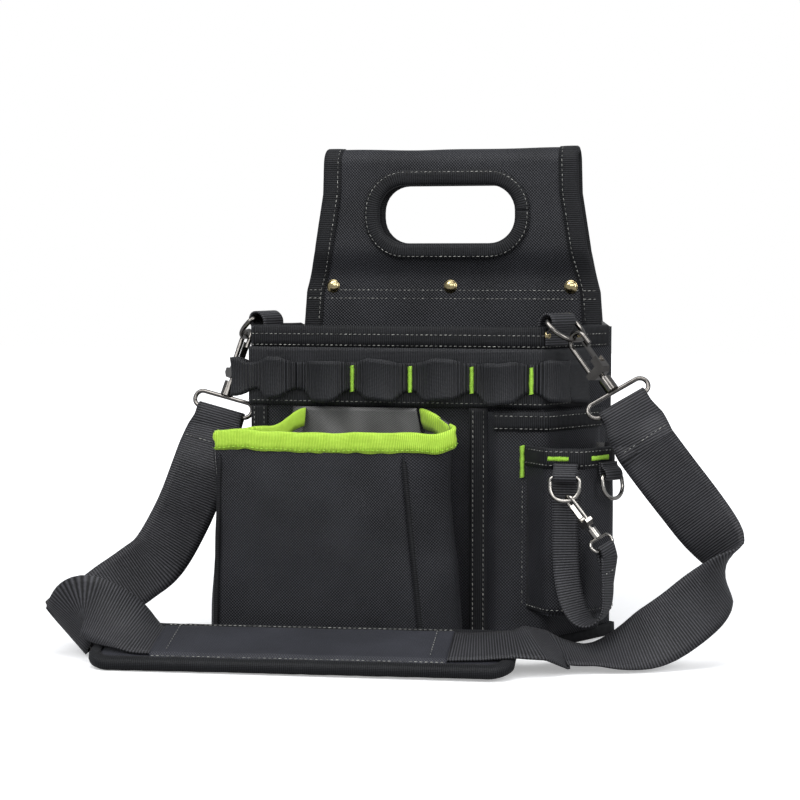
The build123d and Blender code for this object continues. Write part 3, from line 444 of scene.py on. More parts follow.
def make_materials():
    """Every finish on the pouch, by a short name."""
    # Grey thread, uneven in brightness from stitch to stitch: painted shade, at random, for where it sinks in and out
    # of the cloth.
    thread = Finish("grey polyester thread", "#80807c", 0.55)
    thread.bump(thread.speckle(2500.0), 0.4, 0.1)
    level = thread.maths("MULTIPLY", thread.maths("SUBTRACT", thread.speckle(240.0, 1.0), 0.32), 2.6)
    thread.link("Base Color", thread.blend(level, "#3a3a39", "#b2b2ac"))
    return {
        "thread": thread.material,
        # Black ballistic pack cloth: gives the body its small bright diamonds on near-black, painted highlights on the
        # thread crowns.
        "cloth": woven("black ballistic pack cloth", "#020203", "#45464c", 2.0, 0, 0.44, 0.3, 0.24),
        # Same cloth seen from its coated side: finer, greyer and a little shiny, with the same painted highlights on
        # its crowns.
        "coated": woven("grey coated lining cloth", "#3e3e3f", "#8f8e8c", 1.5, 20, 0.36, 0.1, 0.4),
        # Charcoal cloth of the pad and its sleeve, paler and bluer than the bag's, its crowns painted lighter as
        # highlights.
        "pad_cloth": woven("charcoal pad cloth", "#121317", "#4f5059", 1.6, 0, 0.55, 0.15, 0.25),
        # Black binding with ribs across its length painted lighter as highlights, duller than the webbing.
        "tape": ribbed("black binding tape", "#020202", "#2c2d31", 1.25, 0.55, 0.2, 0.2),
        # Lime edge of the large pocket, the one bright band on the bag, its ribs painted paler as highlights.
        "green": ribbed("lime green binding tape", "#98c82c", "#d4f462", 1.2, 0.5, 0.25, 0.3, 0.1),
        # Shoulder, ring and tape webbing, with coarse ribs painted lighter as highlights where they catch the light.
        "webbing": ribbed("black nylon webbing", "#020202", "#505055", 1.6, 0.42, 0.35, 0.3),
        # Finer, darker webbing of the tool loops and of the band behind them, its ribs painted lighter as highlights.
        "loops": ribbed("black loop webbing", "#020202", "#34353a", 1.15, 0.42, 0.3, 0.3),
        # Lime bar tacks and the row on the green edge.
        "lime": flecked("lime green thread", "#8fe01a", 0.45, 900.0, "#86c41c", "#c4f25a", 2500.0, 0.5),
        # Smoky nickel on the top hardware, brighter nickel on the small rings, brass rivets.
        "gunmetal": metal("smoky nickel plate", "#8d8984", "#5c5957"),
        "nickel": metal("bright nickel plate", "#c9c5bf", "#98948e"),
        "brass": metal("antique brass", "#e2d2a4", "#9c8b60"),
        # Matt black sheet inside the back and the base.
        "board": flecked("black stiffener board", "#101012", 0.5, 120.0, "#0c0c0e", "#19191c", 700.0, 0.3),
    }


FINISH = make_materials()


def repaint(node, finish):
    """Gives a CAD node a finish of its own."""
    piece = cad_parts[node]
    for place in piece.material_slots:
        place.material = FINISH[finish]
    if not piece.material_slots:
        piece.data.materials.append(FINISH[finish])


# ---------------------------------------------------------------- plan lines
def shifted(points, distance):
    """Plan line moved to the right of the way it runs."""
    points = [Vector((point[0], point[1], 0)) for point in points]
    moved = []
    for index, point in enumerate(points):
        before = point - points[index - 1] if index else points[1] - point
        after = points[index + 1] - point if index < len(points) - 1 else before
        a, b = flat_out(before), flat_out(after)
        moved.append(point + (a + b) * distance / (1 + a.dot(b)))
    return moved


def soft_corners(points, reach, steps=5, closed=False):
    """Line with each corner rounded off over the given distance."""
    points = [in_space(point) for point in points]
    count = len(points)
    line = []
    for index, point in enumerate(points):
        if not closed and index in (0, count - 1):
            line.append(point)
            continue
        before, after = points[index - 1] - point, points[(index + 1) % count] - point
        back = before.normalized() * min(reach, before.length * 0.45)
        ahead = after.normalized() * min(reach, after.length * 0.45)
        for step in range(steps + 1):
            t = step / steps
            line.append(point + back * (1 - t) ** 2 + ahead * t * t)
    if closed:
        line.append(line[0].copy())
    return line


def arc3(a, middle, b, steps):
    """Plan points from a to b bowing out through the middle point."""
    a, middle, b = Vector((*a, 0)), Vector((*middle, 0)), Vector((*b, 0))
    control = middle * 2 - (a + b) / 2
    shares = [step / steps for step in range(steps + 1)]
    return [a * (1 - t) ** 2 + control * 2 * t * (1 - t) + b * t * t for t in shares]


def rounded_box(wide, tall, radius, steps=8):
    """Closed outline of a rounded rectangle about the origin, anticlockwise."""
    line = []
    for sx, sy, start in ((1, 1, 0), (-1, 1, 90), (-1, -1, 180), (1, -1, 270)):
        middle = Vector((sx * (wide / 2 - radius), sy * (tall / 2 - radius), 0))
        for step in range(steps + 1):
            angle = radians(start + 90 * step / steps)
            line.append(middle + Vector((cos(angle), sin(angle), 0)) * radius)
    return [*line, line[0].copy()]


def wall(
    name, line, low, high, finish, node, thick=SHELL, inside=None, bulge=None, slot="cloth", step=4.0, wave=0.35
):
    """Upright cloth along a plan line that has the outside on its right."""
    plan = Line(line)
    cols, rows = max(6, int(plan.length / step)), max(3, int((high - low) / step))

    def place(u, v):
        point, run = plan.soft(u)
        spot = point + UP * lerp(low, high, v)
        return spot + flat_out(run) * ((bulge(u, v) if bulge else 0.0) + ripple(spot, 38.0, wave))

    bm = sheet_mesh(cols, rows, place, (plan.length, high - low))
    finish_object(name, bm, "pouch", finish, (node,) if node else (), slot, thick, inside=inside)


def tube(name, points, radius, nodes):
    """Round taped ridge along a line, thinning at both ends."""
    line = Line(points)

    def place(u, v):
        centre, run = line.soft(u, 0.02)
        side = run.cross(Vector((0, 1, 0.01))).normalized()
        out = side * cos(2 * pi * v) + side.cross(run) * sin(2 * pi * v)
        return centre + out * radius * (0.2 + 0.8 * min(1, 30 * min(u, 1 - u)) ** 0.5)

    bm = sheet_mesh(max(6, int(line.length / 4)), 8, place, (line.length, 2 * pi * radius), True)
    bmesh.ops.recalc_face_normals(bm, faces=bm.faces)
    finish_object(name, bm, "pouch", "tape", nodes, "black_tape")


def plate(name, outline, low, node, thick):
    """Flat cloth lying at a height, grown upwards by its thickness."""
    bm = bmesh.new()
    spots = [bm.verts.new((point[0], point[1], low)) for point in outline]
    face = bm.faces.new(spots)
    layer = bm.loops.layers.uv.verify()
    for loop in face.loops:
        loop[layer].uv = loop.vert.co.xy
    if sum(a.co.x * b.co.y - b.co.x * a.co.y for a, b in zip(spots, spots[1:] + spots[:1])) < 0:
        bmesh.ops.reverse_faces(bm, faces=bm.faces)
    finish_object(name, bm, "pouch", "cloth", (node,), "cloth", thick, 1.0, False)


# ---------------------------------------------------------------- bag
BODY_LINE = [on_side(True, 27.7), (LEFT_X, FRONT_Y), (RIGHT_X, FRONT_Y), on_side(False, 27.7)]
BASE_LINE = [(LEFT_X, FRONT_Y), (RIGHT_X, FRONT_Y), on_side(False, BACK_Y), on_side(True, BACK_Y)]
# The handle's edge: heights, and how far its half width has grown from the top's to the foot's at each.
EDGE_Z = (325.0, 290.0, 252.0, 225.0, 200.0, 185.0)
EDGE_SHARE = (0.0, 0.06, 0.44, 0.88, 1.0, 1.0)
TOP_HALF, FOOT_HALF = 85.0, 101.0
# The hand hole's middle across and up, its width, height and corner radius.
HOLE = (-1.5, 276.0, 93.0, 40.0, 18.0)
# The fold's middle and radius, and the leaves in front of it and behind it.
FOLD_Y, FOLD_Z, FOLD_RADIUS = 29.0, 310.05, 8.0
FRONT_LEAF = [(0, 26.7, 190), (0, 26.7, 236), (0, 21, 252), (0, 21, FOLD_Z)]
REAR_LEAF = [(0, 37, FOLD_Z), (0, 37, 252), (0, 31.3, 236), (0, 31.3, 190)]


def handle_line():
    """Side view of the folded handle, up its front leaf and down its rear one."""
    fold = []
    for degrees in range(15, 180, 15):
        turn = radians(degrees)
        fold.append(Vector((0, FOLD_Y - FOLD_RADIUS * cos(turn), FOLD_Z + FOLD_RADIUS * sin(turn))))
    return Line([*soft_corners(FRONT_LEAF, 5, 4), *fold, *soft_corners(REAR_LEAF, 5, 4)])


def half_width(z):
    """Half the handle's width at a height."""
    for (z0, z1), (s0, s1) in zip(zip(EDGE_Z, EDGE_Z[1:]), zip(EDGE_SHARE, EDGE_SHARE[1:])):
        if z >= z1:
            return TOP_HALF + (FOOT_HALF - TOP_HALF) * lerp(s0, s1, (z0 - z) / (z0 - z1))
    return FOOT_HALF


def leaf_out(run):
    """Outward direction of the folded handle's cloth."""
    return Vector((0, -run.z, run.y))


def hole_distance(x, z):
    """Signed distance from the edge of the hand hole, negative inside it, and the way out."""
    cx, cz, wide, tall, radius = HOLE
    dx, dz = abs(x - cx) - wide / 2 + radius, abs(z - cz) - tall / 2 + radius
    ox, oz = max(dx, 0), max(dz, 0)
    distance = sqrt(ox * ox + oz * oz) + min(max(dx, dz), 0) - radius
    away = Vector((ox * (1 if x > cx else -1), 0, oz * (1 if z > cz else -1)))
    if away.length < 1e-6:
        away = Vector((1 if x > cx else -1, 0, 0)) if dx > dz else Vector((0, 0, 1 if z > cz else -1))
    return distance, away.normalized()


def make_bag():
    """Front, sides, back, base and their seam tapes."""
    front = [(LEFT_X + 0.8, FRONT_Y), (RIGHT_X - 0.3, FRONT_Y)]
    for name, line, node, low, sag, power in (
        ("front_cloth", front, "front_panel", 0.5, 0.9, 1),
        ("side_cloth_left", BODY_LINE[:2], "side_gusset_left", 0.0, 1.6, 0.5),
        ("side_cloth_right", BODY_LINE[2:], "side_gusset_right", 0.0, 1.6, 0.5),
    ):
        def sink(u, v, low=low, sag=sag, power=power):
            return -low - sag * sin(pi * u) * sin(pi * v) ** power

        wall(name, line, WALL_LOW, WALL_HIGH, "cloth", node, inside="coated", bulge=sink)

    def back_place(u, v):
        z = lerp(WALL_LOW, 235.5, v)
        left, right = REAR_LEFT_X + 0.5, REAR_RIGHT_X - 0.5
        if z >= 201:
            left = max(left, -half_width(z) + 2)
            right = min(right, lerp(REAR_RIGHT_X, half_width(z) - 2, ease((z - 201) / 8)))
        return Vector((lerp(right, left, u), BACK_Y - 0.1, z))

    bm = sheet_mesh(50, 56, back_place, (210, 232))
    finish_object("back_cloth", bm, "pouch", "cloth", ("back_panel",), "cloth", SHELL, inside="coated")
    plate("base_cloth", BASE_LINE, 0.8, "base_panel", 2.2)

    ring = Line(soft_corners(shifted([*BASE_LINE, BASE_LINE[0], BASE_LINE[1]], 0.9)[1:5], 4, closed=True))
    rim_tape("base_edge_tape", ring, 1.1, (30, 0), 7.4, 0.2, "base_binding", 260, UP, tape=0.6, merge=True, pucker=0.15)
    plan = Line(shifted(soft_corners([on_side(True, 24.4), *BODY_LINE[1:3], on_side(False, 24.4)], 3.5), -1.0))
    rim_tape("collar_tape", plan, COLLAR_Z, (30, 0.7), 13.5, 2.0, "collar_binding", 240)
    for name, y, low, high, node in (
        ("seam_tape_left", FRONT_Y - 1.2, LEFT_X + 0.3, LEFT_X + 11, "seam_tapes"),
        ("seam_tape_divider", FRONT_Y - 2.8, 26, 38, None),
    ):
        wall(name, [(low, y), (high, y)], 9, 152.7, "tape", node, 0.9, slot="black_tape", wave=0.15, step=2.5)


def make_handle():
    """Folded handle with its hand hole and edge tapes."""
    path = handle_line()

    def place(u, v):
        point, run = path.soft(v, 0.01)
        half = half_width(point.z) - 0.6
        spot = Vector((lerp(-half, half, u), point.y, point.z))
        return spot + leaf_out(run) * ripple((spot.x, spot.y * 3, spot.z), 45, 0.9)

    bm = sheet_mesh(92, 128, place, (180, path.length))
    middles = [(face, face.calc_center_median()) for face in bm.faces]
    gone = [face for face, spot in middles if spot.z > 250 and hole_distance(spot.x, spot.z)[0] < 0]
    bmesh.ops.delete(bm, geom=gone, context="FACES")
    for vert in bm.verts:
        if vert.is_boundary and 250 < vert.co.z < 302:
            distance, away = hole_distance(vert.co.x, vert.co.z)
            if abs(distance) < 3:
                vert.co -= away * distance
    finish_object("handle_cloth", bm, "pouch", "cloth", ("handle_panel",), "cloth", SHELL, 0.0)

    for name, side in (("left", -1), ("right", 1)):
        def edge(t, side=side):
            point = path.at(t)[0]
            return Vector((side * half_width(point.z), point.y, point.z))

        tape = folded_tape(
            f"handle_edge_tape_{name}", edge, lambda t, side=side: Vector((-side, 0, 0)),
            lambda t: leaf_out(path.soft(t, 0.01)[1]), 12.5, SHELL, f"handle_edge_binding_{name}", 170,
        )
        if side > 0:
            tape.data.flip_normals()

    hole = Line([Vector((p.x + HOLE[0], p.y + HOLE[1], 0)) for p in rounded_box(*HOLE[2:])])
    for name, y, out in (("front", 21.0, Vector((0, -1, 0))), ("rear", 37.0, Vector((0, 1, 0)))):
        def edge(t, y=y):
            point = hole.at(t)[0]
            return Vector((point.x, y, point.y))

        def away(t):
            run = hole.soft(t)[1]
            return Vector((run.y, 0, -run.x))

        tape = folded_tape(
            f"hand_hole_tape_{name}", edge, away, lambda t, out=out: out, 9.0, SHELL, f"hand_hole_binding_{name}",
            200, merge=True,
        )
        if name == "front":
            tape.data.flip_normals()


# ---------------------------------------------------------------- bellows pocket
# Corners of the pocket's plan at its foot and at POCKET_HEAD, and how far its gussets tuck in at the mouth.
FOOT = [(-107, -35.9), (-136, -68), (-128, -80), (6, -80), (27, -57), (21, -35.9)]
HEAD = [(-91, -35.9), (-131, -68), (-122.6, -80), (-10, -80), (21, -57), (-8, -35.9)]
TUCK = [(10.0, 0.0), (23.0, 18.0), (-6.0, 0.0), (0.0, 0.0), (3.0, -12.0), (2.0, 0.0)]


class PocketWall:
    """A stretch of the bellows pocket between two corners of its plan, its gussets tucked in at the mouth."""

    def __init__(self, first, last, corner):
        spread = range(first, last + 1)
        self.foot = Line(soft_corners([FOOT[index] for index in spread], corner))
        self.head = soft_corners([HEAD[index] for index in spread], corner)
        self.tucked = soft_corners([Vector(HEAD[index]) + Vector(TUCK[index]) for index in spread], corner)

    def spot(self, u, z):
        """Outer face of the wall at a share of its length and a height."""
        index, share = self.foot.stretch(u)
        low, high, tucked = [
            points[index].lerp(points[index + 1], share) for points in (self.foot.points, self.head, self.tucked)
        ]
        rise = (z - POCKET_LOW) / (POCKET_HEAD - POCKET_LOW)
        return low.lerp(high, rise) + (tucked - high) * ease((z - 70) / 72) + UP * z

    def out(self, u, z):
        """Outward direction of the wall."""
        return flat_out(self.spot(min(1, u + 0.01), z) - self.spot(max(0, u - 0.01), z))

    def top(self, u):
        """Point on the top edge, which rises along the gussets towards the bag."""
        run = u * self.foot.length
        ends = ((run, self.foot.points[0]), (self.foot.length - run, self.foot.points[-1]))
        near_bag = min([gap for gap, end in ends if end.y > -40], default=34)
        return self.spot(u, lerp(151.0, 139.0, ease(near_bag / 34)))

    def down(self, u):
        """Direction down the wall from its top edge."""
        top = self.top(u)
        return (self.spot(u, top.z - 6) - top).normalized()


def make_pocket():
    """Bellows pocket: face, folding gussets, lining, piping and green edge."""

    def cloth(name, first, last, corner, push, node):
        side = PocketWall(first, last, corner)

        def place(u, v):
            z = lerp(POCKET_LOW, side.top(u).z - 0.6, v)
            spot = side.spot(u, z)
            return spot + side.out(u, z) * (push(u, v) + ripple(spot, 26, 0.7))

        length = side.foot.length
        bm = sheet_mesh(int(length / 3.5), 40, place, (length, 142))
        finish_object(name, bm, "pouch", "cloth", (node,), "cloth", POCKET_CLOTH, inside="coated")

    def face_push(u, v):
        return 1.6 * (sin(pi * u) * sin(pi * min(1, v * 1.02))) ** 0.7

    def left_push(u, v):
        return 1.5 * sin(pi * u) * sin(2 * pi * v + 0.6)

    def right_push(u, v):
        return 1.6 * sin(pi * u) * sin(2 * pi * v + 0.3) - 0.8 * sin(pi * u)

    cloth("pocket_face", 2, 3, 2, face_push, "front_pocket_panel")
    cloth("pocket_gusset_left", 0, 2, 6, left_push, "front_pocket_gusset_left")
    cloth("pocket_gusset_right", 3, 5, 7, right_push, "front_pocket_gusset_right")
    plate("pocket_base_cloth", soft_corners(FOOT, 4), 0.4, "front_pocket_floor", 1.8)

    def lining(u, v):
        z = lerp(8.8, 152, v)
        spot = Vector((lerp(lerp(-106.5, -90.5, v), lerp(20.5, -8.5, v), u), -35.5, z))
        fold = noise.noise(Vector((spot.x / 14 + spot.z / 40, 0, spot.z / 26)))
        return spot + Vector((0, 2.2 * fold + 0.4, 0))

    bm = sheet_mesh(44, 50, lining, (120, 143))
    finish_object("pocket_lining", bm, "pouch", "coated", ("front_pocket_lining",), "lining_cloth", 0.9)

    for name, corner, lean, nodes in (("left", 2, -0.7, ("front_pocket_piping",)), ("right", 3, 0.7, ())):
        points = []
        for step in range(13):
            z = lerp(3.5, 124, step / 12)
            rise = (z - POCKET_LOW) / (POCKET_HEAD - POCKET_LOW)
            spot = Vector(FOOT[corner]).lerp(Vector(HEAD[corner]), rise)
            points.append((spot.x + lean + ripple((spot.x, 1, z), 20, 0.5), spot.y - 0.7, z))
        tube(f"pocket_piping_{name}", points, 1.5, nodes)

    rim = PocketWall(0, 5, 3.0)

    def edge(u):
        return rim.top(u) - rim.out(u, 138) * 0.65 + UP * (0.3 + ripple(rim.top(u), 18, 1.5))

    folded_tape(
        "pocket_edge_tape", edge, rim.down, lambda u: rim.out(u, 138), 12.5, 1.3, "front_pocket_binding", 300,
        pucker=0.9, finish="green", slot="green_tape",
    )


# ---------------------------------------------------------------- band and tool loops
# Where the looped webbing is tacked down, and the plan line of the band behind it.
TACKS = (LEFT_X + 3, -86.0, -50.0, -12.0, 28.0, 66.0)
BAND_LINE = [on_side(True, -8), *BODY_LINE[1:3], on_side(False, 6)]


def loop_line():
    """Plan line of the looped webbing's middle."""
    depth = WEB / 2
    rise = 2.1 + depth
    y = FRONT_Y - rise
    corner = on_side(True, -27 + 0.8 * depth) + OUT_LEFT * rise
    points = [on_side(True, -20) + OUT_LEFT * rise, corner]
    points += arc3(corner.xy, (LEFT_X - 12 - depth, -34.5), (TACKS[0] - 2 + 0.8 * depth, y), 14)[1:]
    for left, right in zip(TACKS, TACKS[1:]):
        points.append(Vector((left + 2, y, 0)))
        for step in range(1, 21):
            t = step / 20
            skew = t ** (1.25 + 0.35 * sin(left * 1.3))
            bulge = 8.2 * (1 - abs(2 * skew - 1) ** 2.4)
            points.append(Vector((lerp(left + 2, right - 2, t), y - bulge, 0)))
    last = (TACKS[-1] + 2, y)
    points.append(Vector((*last, 0)))
    side = on_side(False, -14) + OUT_RIGHT * rise
    points += arc3(last, (RIGHT_X + 10.5 + depth * 0.7, y + 3 + depth * 0.3), side.xy, 12)[1:]
    return Line([*points, on_side(False, 4) + OUT_RIGHT * rise])


def make_loops():
    """Band behind the tool loops, the looped webbing and its thread bars."""
    band = soft_corners(shifted(BAND_LINE, 1.8), 3)
    wall(
        "loop_band_webbing", band, BAND_LOW, BAND_HIGH, "loops", "loop_band", WEB, slot="black_webbing", wave=0.1,
        step=2.5,
    )
    line = loop_line()

    def place(u, v):
        point, run = line.soft(u, 0.004)
        near = min([abs(point.x - x) for x in TACKS] + [40.0])
        open_share = ease((near - 2.0) / 11.0)
        side = 2 * v - 1
        free = ease((point.x + 124) / 14)
        flare = 1.1 * side * side * open_share
        pleat = 0.55 * (1 - open_share) * sin(point.x * 2 * pi / 2.3) * (1 if near > 2.4 else 0.4)
        tall = 12.5 * lerp(0.70, 1.0 + 0.05 * free, open_share)
        tall += free * noise.noise(Vector((point.x / 11, side, 0)))
        droop = lerp(1.4, 1.4 * sin(point.x / 9.0) - 0.8, open_share) * free
        z = (LOOP_LOW + LOOP_HIGH) / 2 + side * tall + droop
        return point + flat_out(run) * (flare + pleat + ripple((point.x, side * 3, 0), 9.0, 0.3)) + UP * z

    bm = sheet_mesh(560, 10, place, (line.length, 25))
    finish_object("looped_webbing", bm, "pouch", "loops", ("tool_loops",), "black_webbing", WEB, 0.0)
    rows = []
    for x in TACKS[2:]:
        bar = tack_rows(Vector((x, -38.1, 162.4)), UP * 0.7, Vector((1, 0, 0)), 24, 1.7)
        rows += [(row, (0, -1, 0)) for row in bar]
    stitches("loop_thread_bars", rows, "pouch", "lime", 3.4, 3.3, 0.36, ("loop_bartacks",), "green_thread")


# ---------------------------------------------------------------- right-hand pockets
# The bag's front right corner on the slip pocket's face, and the plan lines of the slip and corner pockets.
MITRE = shifted([(LEFT_X, FRONT_Y), (RIGHT_X, FRONT_Y), (REAR_RIGHT_X, SIDE_END_Y)], 7.2)[1]
TALL_LINE = [(32, -35.6), (38, -35.6), (43, CORNER_Y), (MITRE.x, MITRE.y)]
TALL_LINE += [
    tuple((on_side(False, 10) + SIDE_RIGHT * reach + OUT_RIGHT * rise).xy)
    for reach, rise in ((0, 7.2), (5, 1.6), (13, 1.6))
]
SMALL_LINE = [(64.0, -41.6), (79.5, -59.0), (101.0, -58.0), (117.0, -34.0), (112.0, -6.0)]
SMALL_LINE.append(tuple((on_side(False, 6) + OUT_RIGHT * 9.1).xy))
FRONT_RUN, SIDE_RUN = [unit(in_space(b) - in_space(a)) for a, b in zip(SMALL_LINE[1:3], SMALL_LINE[2:4])]
FRONT_OUT, SIDE_OUT = flat_out(FRONT_RUN), flat_out(SIDE_RUN)
TAPE_PLACE = in_space(SMALL_LINE[1]) + FRONT_RUN * 12


def make_side_pockets():
    """Slip pocket on the right and the open pocket sewn on its corner."""
    wall(
        "slip_pocket_cloth", soft_corners(TALL_LINE, 3), TALL_LOW, 150.6, "cloth", "tall_pocket_panel", POCKET_CLOTH,
        "coated", lambda u, v: 0.5 * sin(pi * v) * sin(pi * u),
    )
    edge = Line(shifted(soft_corners(TALL_LINE[2:5], 3), -0.65))
    rim_tape("slip_pocket_edge_tape", edge, 151.3, (12, 0), 12, POCKET_CLOTH, "tall_pocket_binding", 90)
    small = soft_corners(SMALL_LINE, 3.5)
    wall(
        "tool_pocket_cloth", small, SMALL_LOW, 129.8, "cloth", "small_pocket_panel", POCKET_CLOTH, "coated",
        lambda u, v: sin(pi * v) * abs(sin(3 * pi * u)),
    )
    rim = Line(shifted(small[:-1], -0.65))
    rim_tape("tool_pocket_edge_tape", rim, 130.4, (12, 0.5), 12.2, POCKET_CLOTH, "small_pocket_binding", 150)
    outline = [point.xy for point in shifted(SMALL_LINE, -1.5)]
    outline += [(RIGHT_X + 22, -2), (MITRE.x, MITRE.y - 0.6), (66, CORNER_Y - 0.6)]
    plate("tool_pocket_base_cloth", outline, 26.5, "small_pocket_floor", POCKET_CLOTH)

    bar = tack_rows(Vector((61.2, CORNER_Y - 1.25, 110.6)), UP * 0.72, Vector((1, 0, 0)), 28, 1.6)
    rows = [(row, (0, -1, 0)) for row in bar]
    for start, run, out, reach, half in (
        (SMALL_LINE[1], FRONT_RUN, FRONT_OUT, 7.6, 6.5),
        (SMALL_LINE[2], SIDE_RUN, SIDE_OUT, 16.0, 8.0),
    ):
        first = in_space(start) + run * (reach - half) + out * 1.3 + UP * 124.25
        rows += [(row, tuple(out)) for row in tack_rows(first, run * 0.72, UP, int(2 * half / 0.72), 1.75)]
    stitches("pocket_thread_bars", rows, "pouch", "lime", 3.5, 3.4, 0.36, ("pocket_bartacks",), "green_thread")

    section = [(2.0, 121.5), (2.2, 117), (2.9, 113), (4.6, 110.6), (7.2, 111.2), (8.3, 113.8), (7.0, 116.6)]
    section += [(4.0, 119), (3.7, 121.5)]
    spare = in_space(SMALL_LINE[2]) + SIDE_RUN * 21
    webbing_eye("tape_ring_webbing", TAPE_PLACE, FRONT_RUN, FRONT_OUT, section, 14.5, 1.0, "tape_ring_tab")
    webbing_eye("spare_ring_webbing", spare, SIDE_RUN, SIDE_OUT, section, 14.5, 1.0, "spare_ring_tab")


def webbing_eye(name, place, run, out, section, width, thick, node):
    """Webbing folded into an eye round a ring's bar. section is its (distance out, height) points."""
    rows = smooth_line([(*(place + out * away + UP * z), *run) for away, z in section], 4)
    ribbon(name, rows, width, thick, "pouch", node, 1.2)


def make_ring_tabs():
    """Webbing eyes of the two top rings."""
    section = [(-4.2, 192), (-4.2, 203.5), (-3.4, 208.5), (0.5, 212), (5, 211.5), (7, 207.5), (5.2, 203)]
    section += [(2.4, 199.5), (1.9, 192)]
    left, right = on_side(True, RING_LEFT_Y), on_side(False, RING_RIGHT_Y)
    webbing_eye("ring_webbing_left", left, SIDE_LEFT, OUT_LEFT, section, 23, 1.2, "ring_tab_left")
    webbing_eye("ring_webbing_right", right, SIDE_RIGHT, OUT_RIGHT, section, 23, 1.2, "ring_tab_right")


# ---------------------------------------------------------------- hardware places that the webbing follows
def ring_hold(left):
    """Where a hook bears on its top ring."""
    place, out = (on_side(True, RING_LEFT_Y), OUT_LEFT) if left else (on_side(False, RING_RIGHT_Y), OUT_RIGHT)
    lean = (out * (0.72 if left else 0.754) - UP * (0.694 if left else 0.657)).normalized()
    return place + out * 3.6 + UP * 208 + lean * 18


# A hook's length from where it bears to its eye's rod, and the small snap's size as a share of a hook's.
HOOK_LONG, SNAP_SHARE = 52.8, 0.68
# Each hook's direction from ring to strap, its eye's width direction and the middle of its eye's rod.
AXIS_RIGHT, AXIS_LEFT = unit(0.595, -0.33, -0.73), unit(-0.25, -0.28, -0.925)
EYE_RIGHT = made_square(Vector((0.79, 0.38, 0.47)), AXIS_RIGHT)
EYE_LEFT = made_square(Vector((0.979, -0.103, -0.18)), AXIS_LEFT)
ROD_RIGHT = ring_hold(False) + AXIS_RIGHT * HOOK_LONG
ROD_LEFT = ring_hold(True) + AXIS_LEFT * HOOK_LONG
# The shoulder webbing's width, and its middle's distance from the middle of a hook's rod.
STRAP_WIDE = 38
EYE_REACH = 1.4 + 0.3 + WEB / 2
# The pad's length and width, its bound edge's height under the webbing, and its own directions.
PAD_LONG, PAD_WIDE, PAD_CORE = 257.0, 57.0, -4.05
PAD_RUN = unit(-180, -18, -1.0)
PAD_ACROSS = made_square(Vector((-0.12, 0.962, 0.235)), PAD_RUN)
PAD_UP = PAD_ACROSS.cross(PAD_RUN)
PAD_MIDDLE = Vector((-58, -122.5, 14.8))
# The adjuster's middle and its own directions.
GLIDE_MIDDLE = Vector((-210.5, -109, 19.0))
GLIDE_RUN = unit(-0.10, 0.98, 0.10)
GLIDE_ACROSS = made_square(Vector((-0.62, -0.05, 0.72)), GLIDE_RUN)
GLIDE_UP = GLIDE_RUN.cross(GLIDE_ACROSS)


def around(rod, leave, across, face, reach, hem, narrow, full):
    """Stations of webbing folded over a rod, from the end of its hem to where it leaves."""
    leave = made_square(leave, across)
    front = leave.cross(across)
    if front.dot(face) < 0:
        front = front * -1
    spots = [(hem, -1.2, full), (hem * 0.5, -1.3, full), (reach * 2.4, -reach, narrow)]
    for angle in range(0, 181, 30):
        turn = radians(angle)
        spots.append((-reach * sin(turn), -reach * cos(turn), narrow))
    spots += [(reach * 2.4, reach, narrow), (hem * 0.5, 1.2, full)]
    return [(*(rod + leave * along + front * out), *across, wide) for along, out, wide in spots]


def pad_spot(along, across, above):
    """Point in the pad's own directions, as a vector."""
    return PAD_MIDDLE + PAD_RUN * along + PAD_ACROSS * across + PAD_UP * above


def on_pad(along, across, above):
    """A webbing station in the pad's own directions."""
    return (*pad_spot(along, across, above), *PAD_ACROSS)


def on_glide(along, above):
    """A webbing station in the adjuster's own directions."""
    return (*(GLIDE_MIDDLE + GLIDE_RUN * along + GLIDE_UP * above), *GLIDE_ACROSS)


def sewn_end(name, near, far, reach, half, lift, body, sizes):
    """Row of thread across webbing between two of its stations, a little past the first."""
    start, stop = Vector(near[:3]), Vector(far[:3])
    share = reach / (stop - start).length
    across = unit(near[3:6]).lerp(unit(far[3:6]), share).normalized()
    front = (stop - start).cross(across).normalized()
    if front.y > 0:
        front = front * -1
    middle = start.lerp(stop, share) + front * lift
    row = ([middle + across * side for side in (-half, half)], tuple(front))
    stitches(name, [row], body, "thread", sizes.pitch / MM)


def make_tape_strap(sizes):
    """Loop of flat webbing that carries tape rolls, sewn behind the small ring."""
    lean = (FRONT_OUT * 0.18 - UP).normalized()
    pull = radians(22)
    reach = 14.5 - 8.6 + 8.6 * cos(pull)
    hold = TAPE_PLACE + FRONT_OUT * 5.8 + UP * 113.5 + FRONT_RUN * 8.6 * sin(pull) + lean * reach
    axis = unit(0.628, -0.10, -0.776)
    across = made_square(Vector((0.45, 0.85, 0.25)), axis)
    rod = hold + axis * HOOK_LONG * SNAP_SHARE
    turn = [
        (119.5, -70.5, 50, 0.25, 0.93, 0.15),
        (119.0, -72.5, 36, 0.2, 0.95, 0.1),
        (113.5, -74.0, 27, 0.2, 0.95, 0.1),
        (104.5, -71.5, 27, 0.45, 0.85, 0.2),
        (97.0, -66.0, 38, 0.85, 0.45, 0.2),
        (92.6, -62.0, 58, 1, 0.1, 0.05),
        (91.6, -60.4, 88, 1, 0.046, 0),
        (*(TAPE_PLACE + FRONT_OUT * 0.9 + UP * 117.4), 1, 0.046, 0),
    ]
    rows = around(rod, Vector((0.12, -0.08, -1.0)), across, Vector((0.5, -0.8, 0)), 1.9, 13, 13.4, 16.0)
    rows += smooth_line(turn, 4)
    ribbon("tape_loop_webbing", rows, 16, 1.1, "pouch", "tape_strap", 1.5)
    sewn_end("tape_hem_thread", rows[11], rows[12], 8, 7.0, 1.6, "pouch", sizes)


